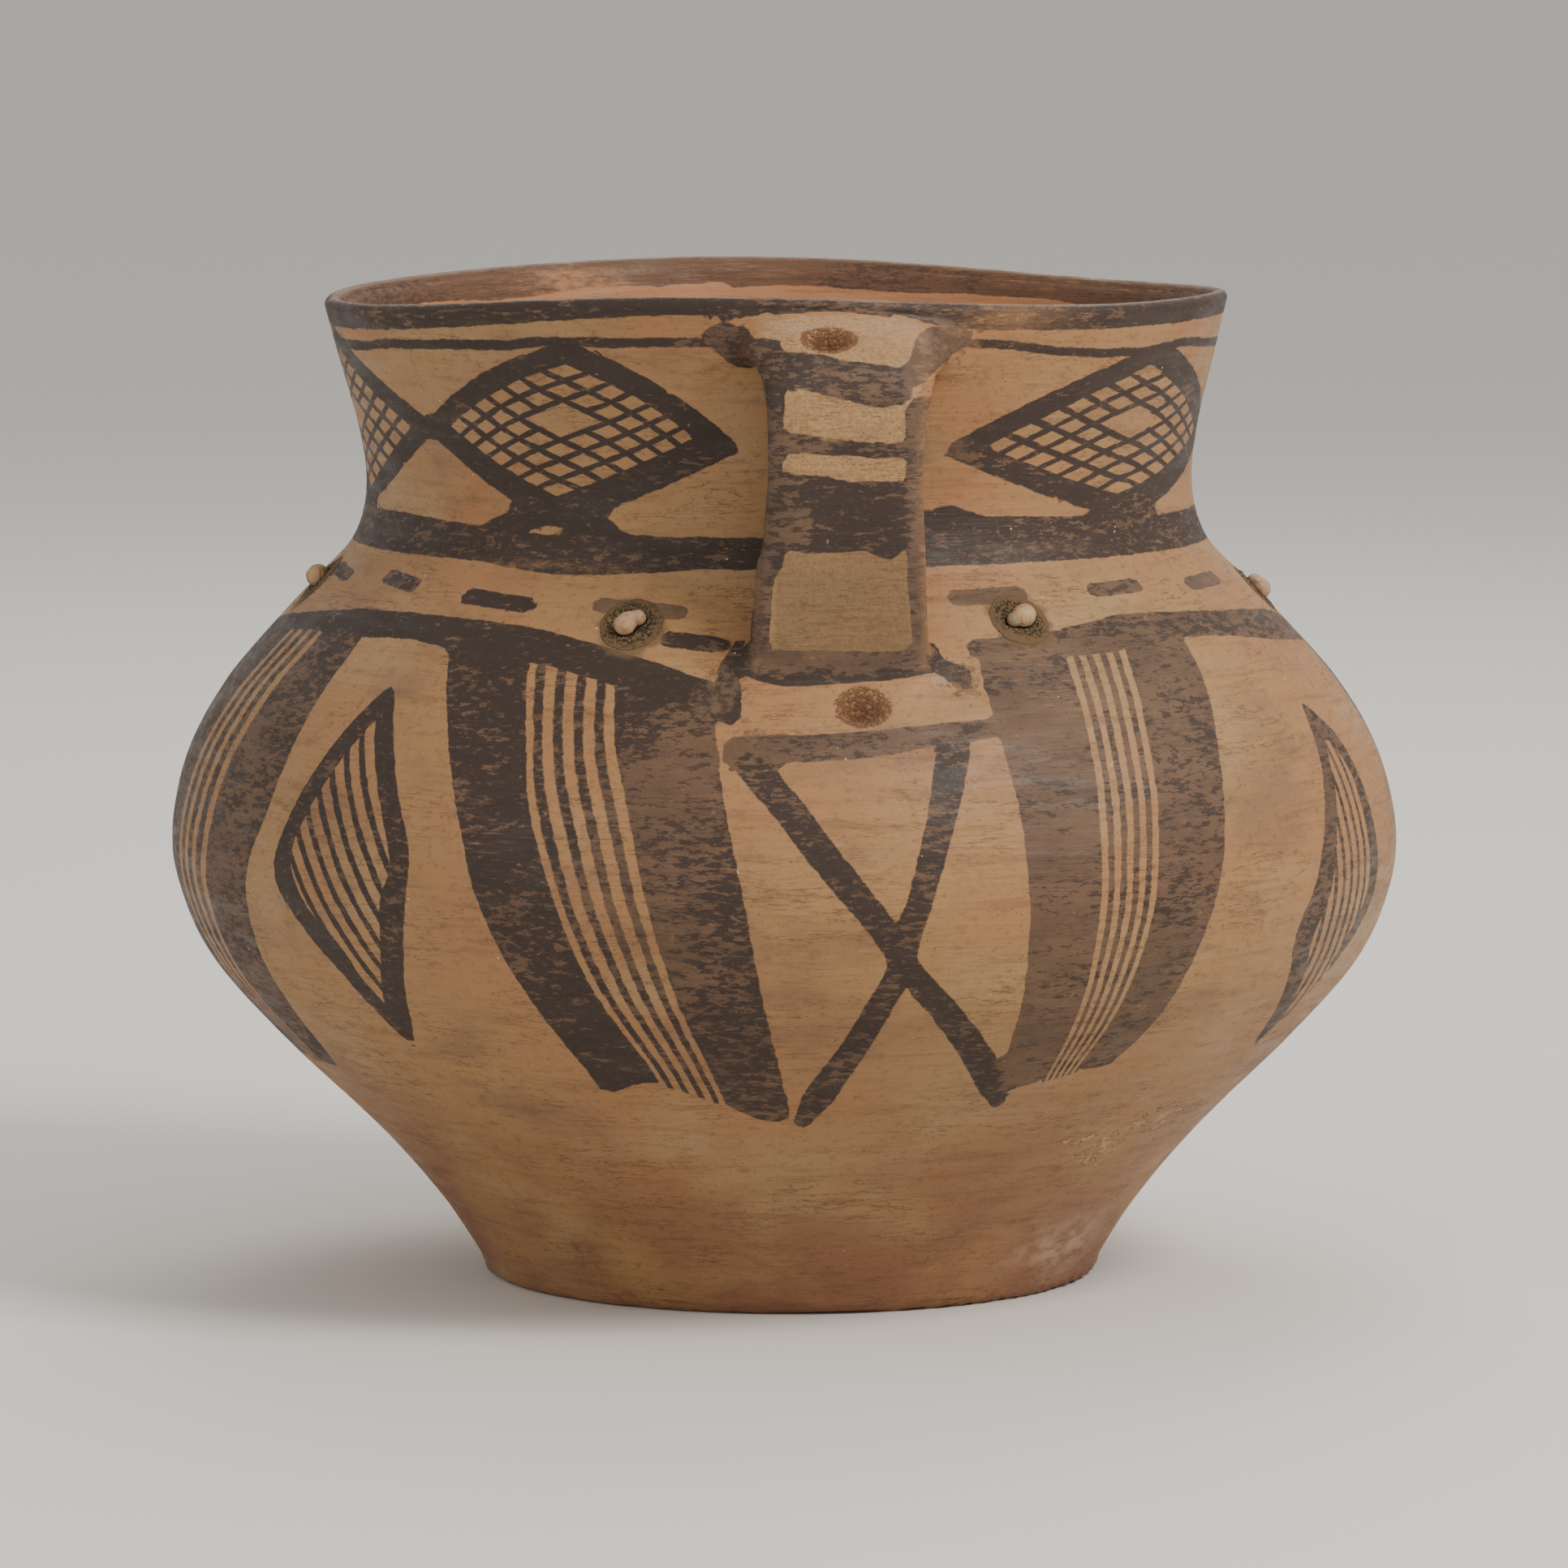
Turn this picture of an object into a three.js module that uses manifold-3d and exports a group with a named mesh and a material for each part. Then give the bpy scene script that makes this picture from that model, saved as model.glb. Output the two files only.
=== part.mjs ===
import * as THREE from "three";
import { mergeVertices } from "three/addons/utils/BufferGeometryUtils.js";
import Module from "manifold-3d";

// A painted earthenware jar: a hollow body with two strap handles, and bone studs
// bedded in dark mastic around the shoulder. Millimetres, +Z up. The origin is on
// the ground under the middle of the belly, and the handles are at -Y and +Y.
// An azimuth is in degrees, from 0 at -Y towards +X.

// The outside, turned about the upright axis
const footRadius = 48;
const heelRound = 2;
const bellyRadius = 95;
const bellyHeight = 69.5;
const neckRadius = 63.9;
const neckHeight = 122.5;
const rimRadius = 69.8;
const rimHeight = 153;

// How the flanks swell between those: [share of the way up, share of the way out]
const lowerFlank = [[0.14, 0.128], [0.318, 0.343], [0.525, 0.645], [0.703, 0.87], [0.86, 0.975]];
const shoulderFlank = [[0.22, 0.085], [0.42, 0.275], [0.585, 0.515], [0.73, 0.75], [0.85, 0.935]];
const neckFlank = [[0.33, 0.18], [0.64, 0.56]];

// The walls
const footWall = 6.4;
const lipThickness = 3.2;
const floorThickness = 7;
const coveRadius = 6;

// What the potter's hand left: an axis that leans towards -X, and a wavy rim
const leanDegrees = 0.84;
const rimWaveHeight = 1.2;
const rimWaves = [
  { lobes: 2, share: 1, peak: 0 },
  { lobes: 3, share: 0.42, peak: -34 },
  { lobes: 4, share: 0.29, peak: -15 },
];

// The strap handles, from the rim to their share of the way up the shoulder. The flares
// of a strap's two ends, and its bends to the round of the wall, are shares of its length.
const fingerGap = 12.1;
const handleWidth = 23.3;
const handleTopWidth = 36;
const handleFootWidth = 28.4;
const topFlare = 0.2;
const footFlare = [0.35, 0.95];
const topBend = [0.05, 0.3];
const footBend = [0.8, 1];
const handleThickness = 6;
const edgeSquareness = [0.6, 0.7];
const handleDish = 0.7;
const handleDroop = 3;
const handleDrop = 3.4;
const handleLanding = 0.567;
const handleSkew = 3.4;
const handles = [
  { azimuth: 0, slant: 1 },
  { azimuth: 180, slant: -0.5 },
];

// Bone studs in mastic, each in its own pit in the shoulder
const pitWidth = 9;
const pitDepth = 2.6;
const masticProud = 0.5;
const studLength = 5;
const studLobes = [0.75, 0.6];
const studWidth = 4.2;
const studProud = 2.2;
const studDepth = pitDepth / 2;
const clearance = 0.3;
const studs = [
  { azimuth: -24.4, up: 0.698, turn: 25 },
  { azimuth: 21.9, up: 0.702, turn: 140 },
  { azimuth: 81, up: 0.695, turn: 75 },
  { azimuth: 157, up: 0.705, turn: 10 },
  { azimuth: -156, up: 0.7, turn: 160 },
  { azimuth: -89, up: 0.733, turn: 95 },
];

// Empty sockets, one at a share of each handle's length and one under its foot
const socketWidth = 7.5;
const socketDepth = 2.2;
const topSocketShare = 0.15;
const topSocketAside = -2.7;
const lowSocketDrop = 4.2;
const lowSocketAzimuth = 1.2;

// How finely round things are cut into flat faces
const bodySides = 64;
const outsideSteps = 20;
const insideSteps = 12;
const strapSteps = 14;
const strapSides = 14;
const pitSides = 12;
const pitRings = 7;
const studSides = 8;
const studRings = 5;

const wasm = await Module();
wasm.setup();

const { degToRad: radians, lerp: mix, smoothstep } = THREE.MathUtils;

// The height at a share of the way up from the belly to the neck.
function shoulderHeight(share) {
  return mix(bellyHeight, neckHeight, share);
}

// The solid of a closed geometry.
function solid(geometry) {
  const bare = geometry.clone();
  bare.deleteAttribute("normal");
  bare.deleteAttribute("uv");
  const merged = mergeVertices(bare, 1e-4);
  return new wasm.Manifold(
    new wasm.Mesh({
      numProp: 3,
      vertProperties: new Float32Array(merged.attributes.position.array),
      triVerts: new Uint32Array(merged.index.array),
    }),
  );
}

// A named mesh of a solid.
function mesh(name, shape, material) {
  const { vertProperties, triVerts } = shape.getMesh();
  const geometry = new THREE.BufferGeometry();
  geometry.setAttribute("position", new THREE.BufferAttribute(vertProperties, 3));
  geometry.setIndex(new THREE.BufferAttribute(triVerts, 1));
  geometry.computeVertexNormals();
  const made = new THREE.Mesh(geometry, material);
  made.name = name;
  return made;
}

// Points that swell from one [radius, height] to another by their shares.
function swell(from, to, shares) {
  return shares.map(([up, out]) => [mix(from[0], to[0], out), mix(from[1], to[1], up)]);
}

const foot = [footRadius, heelRound];
const belly = [bellyRadius, bellyHeight];
const neck = [neckRadius, neckHeight];
const lip = [rimRadius, rimHeight - lipThickness / 2];
const outside = new THREE.SplineCurve(
  [
    foot,
    ...swell(foot, belly, lowerFlank),
    belly,
    ...swell(belly, neck, shoulderFlank),
    neck,
    ...swell(neck, lip, neckFlank),
    lip,
  ].map(([radius, height]) => new THREE.Vector2(radius, height)),
);

// The outside's point and outward normal at a share of its length, as radius and height.
function outsideAt(share) {
  const point = outside.getPointAt(share);
  const along = outside.getTangentAt(share);
  return { point, normal: new THREE.Vector2(along.y, -along.x) };
}

// The same at a height.
function outsideAtHeight(height) {
  let low = 0;
  let high = 1;
  while (high - low > 1e-6) {
    const middle = (low + high) / 2;
    if (outside.getPointAt(middle).y < height) low = middle;
    else high = middle;
  }
  return outsideAt(low);
}

function arc(centreRadius, centreHeight, radius, from, to, steps) {
  return Array.from({ length: steps + 1 }, (_, i) => {
    const angle = radians(mix(from, to, i / steps));
    return new THREE.Vector2(
      centreRadius + radius * Math.cos(angle),
      centreHeight + radius * Math.sin(angle),
    );
  });
}

// The inside of the wall, from the lip down to the cove above the floor.
function insideWall() {
  const points = [];
  for (let i = 1; i < insideSteps; i++) {
    const { point, normal } = outsideAt(1 - i / insideSteps);
    const thickness = mix(footWall, lipThickness, point.y / rimHeight);
    const inner = point.clone().addScaledVector(normal, -thickness);
    if (inner.y > floorThickness + coveRadius) points.push(inner);
  }
  return points;
}

// The inside's profile from the lip to the axis.
function insideProfile() {
  const wall = insideWall();
  const last = wall[wall.length - 1];
  return [
    new THREE.Vector2(rimRadius - lipThickness, rimHeight - lipThickness / 2),
    ...wall,
    new THREE.Vector2(last.x - coveRadius, floorThickness + coveRadius / 3),
    new THREE.Vector2(last.x - 2 * coveRadius, floorThickness),
    new THREE.Vector2(0, floorThickness),
  ];
}

// Turns a profile about the upright axis.
function turned(points) {
  return new THREE.LatheGeometry(points, bodySides).rotateX(Math.PI / 2);
}

function rimWave(azimuth) {
  return rimWaves.reduce(
    (sum, { lobes, share, peak }) =>
      sum + share * rimWaveHeight * Math.cos(lobes * (azimuth - radians(peak))),
    0,
  );
}

// Moves a true point to where the hand-made jar has it.
function settlePoint(point) {
  const azimuth = Math.atan2(point.x, -point.y);
  const share = smoothstep(point.z, neckHeight, rimHeight);
  point.x -= Math.tan(radians(leanDegrees)) * (point.z - bellyHeight);
  point.z += share * rimWave(azimuth);
  return point;
}

function settle(geometry) {
  const places = geometry.attributes.position;
  const point = new THREE.Vector3();
  for (let i = 0; i < places.count; i++) {
    settlePoint(point.fromBufferAttribute(places, i));
    places.setXYZ(i, point.x, point.y, point.z);
  }
  return geometry;
}

// The shell of the jar, and what fills its hollow.
function shell() {
  const heel = arc(footRadius - heelRound, heelRound, heelRound, -90, 0, 3);
  const up = Array.from({ length: outsideSteps - 1 }, (_, i) =>
    outside.getPointAt((i + 1) / outsideSteps),
  );
  const lipRadius = lipThickness / 2;
  const roundLip = arc(rimRadius - lipRadius, rimHeight - lipRadius, lipRadius, 0, 180, 4);
  const [, ...inside] = insideProfile();
  return solid(
    settle(turned([new THREE.Vector2(0, 0), ...heel, ...up, ...roundLip, ...inside])),
  );
}

function hollow() {
  const inside = insideProfile();
  const top = rimHeight + lipThickness;
  const mouth = [new THREE.Vector2(0, top), new THREE.Vector2(inside[0].x, top)];
  return solid(settle(turned([...mouth, ...inside].reverse())));
}

// The middle line of a strap in its own upright plane: x is the reach from the axis.
const strapLine = (() => {
  const half = handleThickness / 2;
  const top = rimHeight - handleDrop;
  const landing = shoulderHeight(handleLanding);
  const drop = top - landing;
  const atRim = rimRadius - lipThickness / 2;
  const middle = neckRadius + fingerGap + half;
  const atFoot = outsideAtHeight(landing).point.x - half / 2;
  return new THREE.SplineCurve([
    new THREE.Vector2(atRim - half, top - half * 0.6),
    new THREE.Vector2(mix(atRim, middle, 0.5), top - half),
    new THREE.Vector2(middle - half * 0.3, top - drop * 0.2),
    new THREE.Vector2(middle, top - drop * 0.42),
    new THREE.Vector2(mix(middle, atFoot, 0.3), top - drop * 0.75),
    new THREE.Vector2(atFoot, landing),
    new THREE.Vector2(atFoot - half, landing - half * 2),
  ]);
})();

// The strap's width along its line: flared at the rim, narrow, and wider at the foot.
function strapWidth(share) {
  const top = (handleTopWidth - handleWidth) * Math.exp(-((share / topFlare) ** 2));
  const low = (handleFootWidth - handleWidth) * smoothstep(share, ...footFlare);
  return handleWidth + top + low;
}

// How far the strap follows the round of the wall that it is luted to.
function strapBend(share) {
  return 1 - smoothstep(share, ...topBend) + smoothstep(share, ...footBend);
}

// A point of the strap at -Y: across is from -1 to 1, and out from -1, inside, to 1.
function strapPoint(share, across, out, slant) {
  const line = strapLine.getPointAt(share);
  const along = strapLine.getTangentAt(share);
  const dish = out > 0 ? handleDish * (1 - across * across) : 0;
  const away = (out * handleThickness) / 2 - dish;
  const aside = (across * strapWidth(share)) / 2;
  const bend = (strapBend(share) * aside ** 2) / (2 * rimRadius);
  const droop = handleDroop * across ** 4 * (1 - smoothstep(share, 0, topBend[1]));
  const skew = handleSkew * slant * (0.5 - share);
  const reach = line.x - along.y * away - bend;
  const height = line.y + along.x * away - droop;
  return new THREE.Vector3(aside + skew, -reach, height);
}

// A strap handle as a closed tube whose ends are buried in the wall.
function strap(slant) {
  const square = (value, power) => Math.sign(value) * Math.abs(value) ** power;
  const points = [];
  for (let ring = 0; ring <= strapSteps; ring++) {
    const share = ring / strapSteps;
    for (let side = 0; side < strapSides; side++) {
      const angle = (side / strapSides) * 2 * Math.PI;
      const across = square(Math.cos(angle), edgeSquareness[0]);
      const out = square(Math.sin(angle), edgeSquareness[1]);
      points.push(strapPoint(share, across, out, slant));
    }
  }
  const faces = [];
  for (let ring = 0; ring < strapSteps; ring++) {
    for (let side = 0; side < strapSides; side++) {
      const next = (side + 1) % strapSides;
      const a = ring * strapSides + side;
      const b = ring * strapSides + next;
      faces.push(a, b, a + strapSides, b, b + strapSides, a + strapSides);
    }
  }
  const last = strapSteps * strapSides;
  for (let side = 1; side < strapSides - 1; side++) {
    faces.push(0, side + 1, side);
    faces.push(last, last + side, last + side + 1);
  }
  const geometry = new THREE.BufferGeometry().setFromPoints(points);
  geometry.setIndex(faces);
  return geometry;
}

// A frame on the outside of the body, with its own z pointing out of the wall.
function wallFrame(azimuth, height, turn = 0) {
  const { point, normal } = outsideAtHeight(height);
  const around = radians(azimuth);
  const outward = new THREE.Vector3(Math.sin(around), -Math.cos(around), 0);
  const place = settlePoint(outward.clone().multiplyScalar(point.x).setZ(point.y));
  const out = outward.multiplyScalar(normal.x).setZ(normal.y);
  return frameAt(place, out, turn);
}

function frameAt(place, out, turn) {
  return new THREE.Matrix4()
    .makeTranslation(place)
    .multiply(
      new THREE.Matrix4().makeRotationFromQuaternion(
        new THREE.Quaternion().setFromUnitVectors(new THREE.Vector3(0, 0, 1), out.normalize()),
      ),
    )
    .multiply(new THREE.Matrix4().makeRotationZ(radians(turn)));
}

// The radius of a ball that sinks a round pit of this width and depth.
function ballRadius(width, depth) {
  return (width ** 2 / 4 + depth ** 2) / (2 * depth);
}

// That ball, taken in by a margin, in the pit's own frame.
function pitBall(width, depth, margin, frame) {
  const radius = ballRadius(width, depth);
  const ball = new THREE.SphereGeometry(radius - margin, pitSides, pitRings);
  return solid(ball.rotateX(Math.PI / 2).translate(0, 0, radius - depth).applyMatrix4(frame));
}

// A stud's two lobes, grown by a margin.
function studShape(margin, frame) {
  const height = studProud + studDepth;
  const lobe = (length, aside) => {
    const ball = new THREE.SphereGeometry(1, studSides, studRings);
    ball.rotateX(Math.PI / 2);
    ball.scale(length / 2 + margin, studWidth / 2 + margin, height / 2 + margin);
    return solid(ball.translate(aside, 0, studProud - height / 2).applyMatrix4(frame));
  };
  const [larger, smaller] = studLobes.map((share) => share * studLength);
  return lobe(larger, (studLength - larger) / 2).add(lobe(smaller, (smaller - studLength) / 2));
}

// The mastic that fills a pit around its stud, domed a little above the wall.
function masticShape(frame) {
  const size = pitWidth * 2;
  const above = new THREE.BoxGeometry(size, size, size)
    .translate(0, 0, size / 2 + masticProud)
    .applyMatrix4(frame);
  return pitBall(pitWidth, pitDepth, clearance, frame)
    .subtract(solid(above))
    .subtract(studShape(clearance, frame));
}

// The frame of the socket on the top of a strap.
function topSocketFrame({ azimuth, slant }) {
  const upright = new THREE.Vector3(0, 0, 1);
  const across = (2 * topSocketAside) / strapWidth(topSocketShare);
  const place = strapPoint(topSocketShare, across, 1, slant);
  const along = strapLine.getTangentAt(topSocketShare);
  const out = new THREE.Vector3(0, along.y, along.x);
  place.applyAxisAngle(upright, radians(azimuth));
  out.applyAxisAngle(upright, radians(azimuth));
  return frameAt(settlePoint(place), out, 0);
}

function lowSocketFrame({ azimuth }) {
  const height = shoulderHeight(handleLanding) - lowSocketDrop;
  return wallFrame(azimuth + lowSocketAzimuth, height);
}

const clay = new THREE.MeshStandardMaterial({ color: 0xb98a62, roughness: 0.62, metalness: 0 });
const bone = new THREE.MeshStandardMaterial({ color: 0xd9c3a0, roughness: 0.5, metalness: 0 });
const mastic = new THREE.MeshStandardMaterial({ color: 0x4a4234, roughness: 0.9, metalness: 0 });

const studFrames = studs.map(({ azimuth, up, turn }) =>
  wallFrame(azimuth, shoulderHeight(up), turn),
);

function jar() {
  const inside = hollow();
  let shape = shell();
  for (const handle of handles) {
    const geometry = settle(strap(handle.slant).rotateZ(radians(handle.azimuth)));
    shape = shape.add(solid(geometry).subtract(inside));
    for (const frame of [topSocketFrame(handle), lowSocketFrame(handle)]) {
      shape = shape.subtract(pitBall(socketWidth, socketDepth, 0, frame));
    }
  }
  for (const frame of studFrames) {
    shape = shape.subtract(pitBall(pitWidth, pitDepth, 0, frame));
  }
  return shape;
}

const group = new THREE.Group();
group.add(mesh("jar", jar(), clay));
studFrames.forEach((frame, i) => {
  group.add(mesh(`mastic_bed_${i + 1}`, masticShape(frame), mastic));
  group.add(mesh(`bone_stud_${i + 1}`, studShape(0, frame), bone));
});

export default group;
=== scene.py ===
import math

import bmesh
import bpy
import numpy as np
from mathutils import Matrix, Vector, noise
from mathutils.bvhtree import BVHTree
from mathutils.kdtree import KDTree


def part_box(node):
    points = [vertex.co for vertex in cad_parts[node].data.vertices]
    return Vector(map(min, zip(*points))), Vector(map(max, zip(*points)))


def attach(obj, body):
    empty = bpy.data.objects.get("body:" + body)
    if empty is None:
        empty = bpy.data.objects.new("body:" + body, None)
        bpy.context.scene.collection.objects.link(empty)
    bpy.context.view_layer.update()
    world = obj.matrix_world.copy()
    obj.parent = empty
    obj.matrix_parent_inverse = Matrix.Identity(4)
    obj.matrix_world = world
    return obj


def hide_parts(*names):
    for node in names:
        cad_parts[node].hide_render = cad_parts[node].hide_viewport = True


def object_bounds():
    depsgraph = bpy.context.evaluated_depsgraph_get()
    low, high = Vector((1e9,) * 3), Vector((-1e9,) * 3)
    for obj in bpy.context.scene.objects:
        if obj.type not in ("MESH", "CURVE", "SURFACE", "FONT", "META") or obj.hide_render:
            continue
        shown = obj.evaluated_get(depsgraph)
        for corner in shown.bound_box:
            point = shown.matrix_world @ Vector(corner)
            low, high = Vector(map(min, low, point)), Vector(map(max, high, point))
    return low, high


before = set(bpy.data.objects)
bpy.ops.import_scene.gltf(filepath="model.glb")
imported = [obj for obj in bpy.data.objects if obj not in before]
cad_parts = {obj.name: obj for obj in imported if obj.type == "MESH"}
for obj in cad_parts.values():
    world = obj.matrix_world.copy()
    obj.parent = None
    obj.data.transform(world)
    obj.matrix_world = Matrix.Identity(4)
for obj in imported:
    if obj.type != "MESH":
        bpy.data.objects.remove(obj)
cad_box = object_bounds()

# A painted earthenware jar with two strap handles. Sizes here are millimetres, as in the
# solid, and turn into metres when a mesh is made. Azimuths are degrees from -Y towards +X.
MM = 0.001

# The outside and the walls, as in the solid
FOOT_RADIUS = 48
HEEL_ROUND = 2
BELLY_RADIUS = 95
BELLY_HEIGHT = 69.5
NECK_RADIUS = 63.9
NECK_HEIGHT = 122.5
RIM_RADIUS = 69.8
RIM_HEIGHT = 153
LOWER_FLANK = [(0.14, 0.128), (0.318, 0.343), (0.525, 0.645), (0.703, 0.87), (0.86, 0.975)]
SHOULDER_FLANK = [(0.22, 0.085), (0.42, 0.275), (0.585, 0.515), (0.73, 0.75), (0.85, 0.935)]
NECK_FLANK = [(0.33, 0.18), (0.64, 0.56)]
FOOT_WALL = 6.4
LIP_THICKNESS = 3.2
FLOOR_THICKNESS = 7
COVE_RADIUS = 6
LEAN_DEGREES = 0.84
RIM_WAVE_HEIGHT = 1.2
RIM_WAVES = [(2, 1, 0), (3, 0.42, -34), (4, 0.29, -15)]

# The skin lies this far inside the solid's, which leaves room for the dents of the hand
SKIN = 0.3

# The strap handles, as in the solid
FINGER_GAP = 12.1
HANDLE_WIDTH = 23.3
HANDLE_TOP_WIDTH = 36
HANDLE_FOOT_WIDTH = 28.4
TOP_FLARE = 0.2
FOOT_FLARE = (0.35, 0.95)
TOP_BEND = (0.05, 0.3)
FOOT_BEND = (0.8, 1)
HANDLE_THICKNESS = 6
EDGE_SQUARENESS = (0.6, 0.7)
HANDLE_DISH = 0.9
HANDLE_DROOP = 3
HANDLE_DROP = 3.4
HANDLE_LANDING = 0.567
HANDLE_SKEW = 3.4
# Each handle as (azimuth, share of the skew)
HANDLES = [(0, 1), (180, -0.5)]

# Pits for the studs, and the empty sockets of lost ones
PIT_WIDTH = 9
PIT_DEPTH = 2.6
TOP_SOCKET_SIZE = (8.4, 5.2)
LOW_SOCKET_SIZE = (8.2, 6.8)
SOCKET_DEPTH = 2.2
SOCKET_RAGGED = 0.35
TOP_SOCKET = (0.15, -2.7)
LOW_SOCKET = (4.2, 1.2)
STUDS = 6
STUD_RISE = 0.45
BEAD_RISE = (18, 32)

# The spared lens in the painted mound of the neck, as (azimuth, height)
LENS = (-39.2, 118.9)

# How finely the jar is meshed: the sides of its rough body, the size of its even faces, and
# how far round a carved place these are halved
BODY_SIDES = 240
GRAIN = 1.85
REFINED = 6.5

# How far round a joint its clay was smeared, how deep the ends of a strap stay in the wall,
# and how far off the inner skin still counts as inside
LUTING = 3.5
EMBEDDED = 1.3
INSIDE_REACH = 1.6


def smooth(values, low, high):
    """0 below low, 1 above high, and a soft step between."""
    share = np.clip((np.asarray(values, float) - low) / (high - low), 0, 1)
    return share * share * (3 - 2 * share)


def mix(low, high, share):
    return low + (high - low) * share


def catmull(points, steps):
    """A curve through points, with so many steps from each to the next."""
    p = np.array([points[0], *points, points[-1]], float)
    t = np.linspace(0, 1, steps, endpoint=False)[:, None]
    spans = []
    for a, b, c, d in zip(p, p[1:], p[2:], p[3:]):
        leave = (c - a) / 2
        reach = (d - b) / 2
        cubic = 2 * b - 2 * c + leave + reach
        square = 3 * c - 3 * b - 2 * leave - reach
        spans.append(cubic * t**3 + square * t**2 + leave * t + b)
    return np.vstack([*spans, p[-1:]])


def along(curve, shares):
    """Points of a curve at shares of its length, and its directions there."""
    steps = np.linalg.norm(np.diff(curve, axis=0), axis=1)
    length = np.concatenate([[0], np.cumsum(steps)])
    at = np.asarray(shares, float) * length[-1]
    points = np.stack([np.interp(at, length, column) for column in curve.T], axis=-1)
    slopes = np.gradient(curve, length, axis=0)
    ways = np.stack([np.interp(at, length, column) for column in slopes.T], axis=-1)
    return points, ways / np.linalg.norm(ways, axis=-1, keepdims=True)


def swell(start, end, shares):
    return [(mix(start[0], end[0], out), mix(start[1], end[1], up)) for up, out in shares]


def arc(centre, radius, start, end, steps):
    angles = np.radians(np.linspace(start, end, steps + 1))
    return np.stack([centre[0] + radius * np.cos(angles), centre[1] + radius * np.sin(angles)], 1)


FOOT = (FOOT_RADIUS, HEEL_ROUND)
BELLY = (BELLY_RADIUS, BELLY_HEIGHT)
NECK = (NECK_RADIUS, NECK_HEIGHT)
LIP = (RIM_RADIUS, RIM_HEIGHT - LIP_THICKNESS / 2)
OUTSIDE = catmull(
    [
        FOOT,
        *swell(FOOT, BELLY, LOWER_FLANK),
        BELLY,
        *swell(BELLY, NECK, SHOULDER_FLANK),
        NECK,
        *swell(NECK, LIP, NECK_FLANK),
        LIP,
    ],
    30,
)


def outside_normals():
    slope = np.gradient(OUTSIDE, axis=0)
    slope /= np.linalg.norm(slope, axis=1, keepdims=True)
    return np.stack([slope[:, 1], -slope[:, 0]], 1)


def profiles():
    """The outer and inner profile of the wall as (radius, height), from the axis to the lip."""
    normals = outside_normals()
    heel = arc((FOOT_RADIUS - HEEL_ROUND, HEEL_ROUND), HEEL_ROUND - SKIN / 2, -90, 0, 8)
    heel[:, 1] -= heel[0, 1]
    skin = OUTSIDE - normals * SKIN
    half = LIP_THICKNESS / 2
    top = (RIM_RADIUS - half, RIM_HEIGHT - half)
    lip = arc(top, half - SKIN, 0, 90, 8)
    outer = np.vstack([[(0, 0)], heel, skin[3:], lip[1:]])
    thickness = mix(FOOT_WALL, LIP_THICKNESS, OUTSIDE[:, 1:] / RIM_HEIGHT)
    wall = OUTSIDE - normals * thickness
    wall = wall[wall[:, 1] > FLOOR_THICKNESS + COVE_RADIUS]
    cove_end = (wall[0, 0] - 2 * COVE_RADIUS, FLOOR_THICKNESS)
    cove_middle = (wall[0, 0] - COVE_RADIUS, FLOOR_THICKNESS + COVE_RADIUS / 3)
    cove = catmull([cove_end, cove_middle, wall[0]], 6)
    roll = arc(top, half - SKIN, 180, 90, 8)
    inner = np.vstack([[(0, FLOOR_THICKNESS)], cove, wall[1:-4], roll])
    return outer, inner


def finer(curve, step):
    """The same curve with points no further apart than step."""
    pieces = []
    for a, b in zip(curve, curve[1:]):
        count = max(1, math.ceil(np.linalg.norm(b - a) / step))
        pieces.append(mix(a, b, np.linspace(0, 1, count, endpoint=False)[:, None]))
    return np.vstack([*pieces, curve[-1:]])


OUTER, INNER = profiles()


def revolve(profile, sides):
    """Vertices and faces of a closed profile turned about the axis, its two ends on it."""
    angles = np.linspace(0, 2 * np.pi, sides, endpoint=False)
    rings = profile[1:-1]
    x = rings[:, :1] * np.sin(angles)
    y = -rings[:, :1] * np.cos(angles)
    z = np.repeat(rings[:, 1:], sides, axis=1)
    points = np.stack([x, y, z], -1).reshape(-1, 3)
    first = len(points)
    points = np.vstack([points, [(0, 0, profile[0][1])], [(0, 0, profile[-1][1])]])
    faces = []
    for ring in range(len(rings) - 1):
        for side in range(sides):
            a = ring * sides + side
            b = ring * sides + (side + 1) % sides
            faces.append((a, b, b + sides, a + sides))
    last = (len(rings) - 1) * sides
    for side in range(sides):
        after = (side + 1) % sides
        faces.append((first, after, side))
        faces.append((first + 1, last + side, last + after))
    return points, faces


def strap_line():
    """The middle line of a strap as (reach from the axis, height)."""
    half = HANDLE_THICKNESS / 2
    top = RIM_HEIGHT - HANDLE_DROP
    landing = mix(BELLY_HEIGHT, NECK_HEIGHT, HANDLE_LANDING)
    drop = top - landing
    at_rim = RIM_RADIUS - LIP_THICKNESS / 2
    middle = NECK_RADIUS + FINGER_GAP + half
    at_foot = np.interp(landing, OUTSIDE[:, 1], OUTSIDE[:, 0]) - half / 2
    return catmull(
        [
            (at_rim - half, top - half * 0.6),
            (mix(at_rim, middle, 0.5), top - half),
            (middle - half * 0.3, top - drop * 0.2),
            (middle, top - drop * 0.42),
            (mix(middle, at_foot, 0.3), top - drop * 0.75),
            (at_foot, landing),
            (at_foot - half, landing - half * 2),
        ],
        30,
    )


STRAP_LINE = strap_line()


def strap_width(share):
    top = (HANDLE_TOP_WIDTH - HANDLE_WIDTH) * np.exp(-((share / TOP_FLARE) ** 2))
    low = (HANDLE_FOOT_WIDTH - HANDLE_WIDTH) * smooth(share, *FOOT_FLARE)
    return HANDLE_WIDTH + top + low


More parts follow.
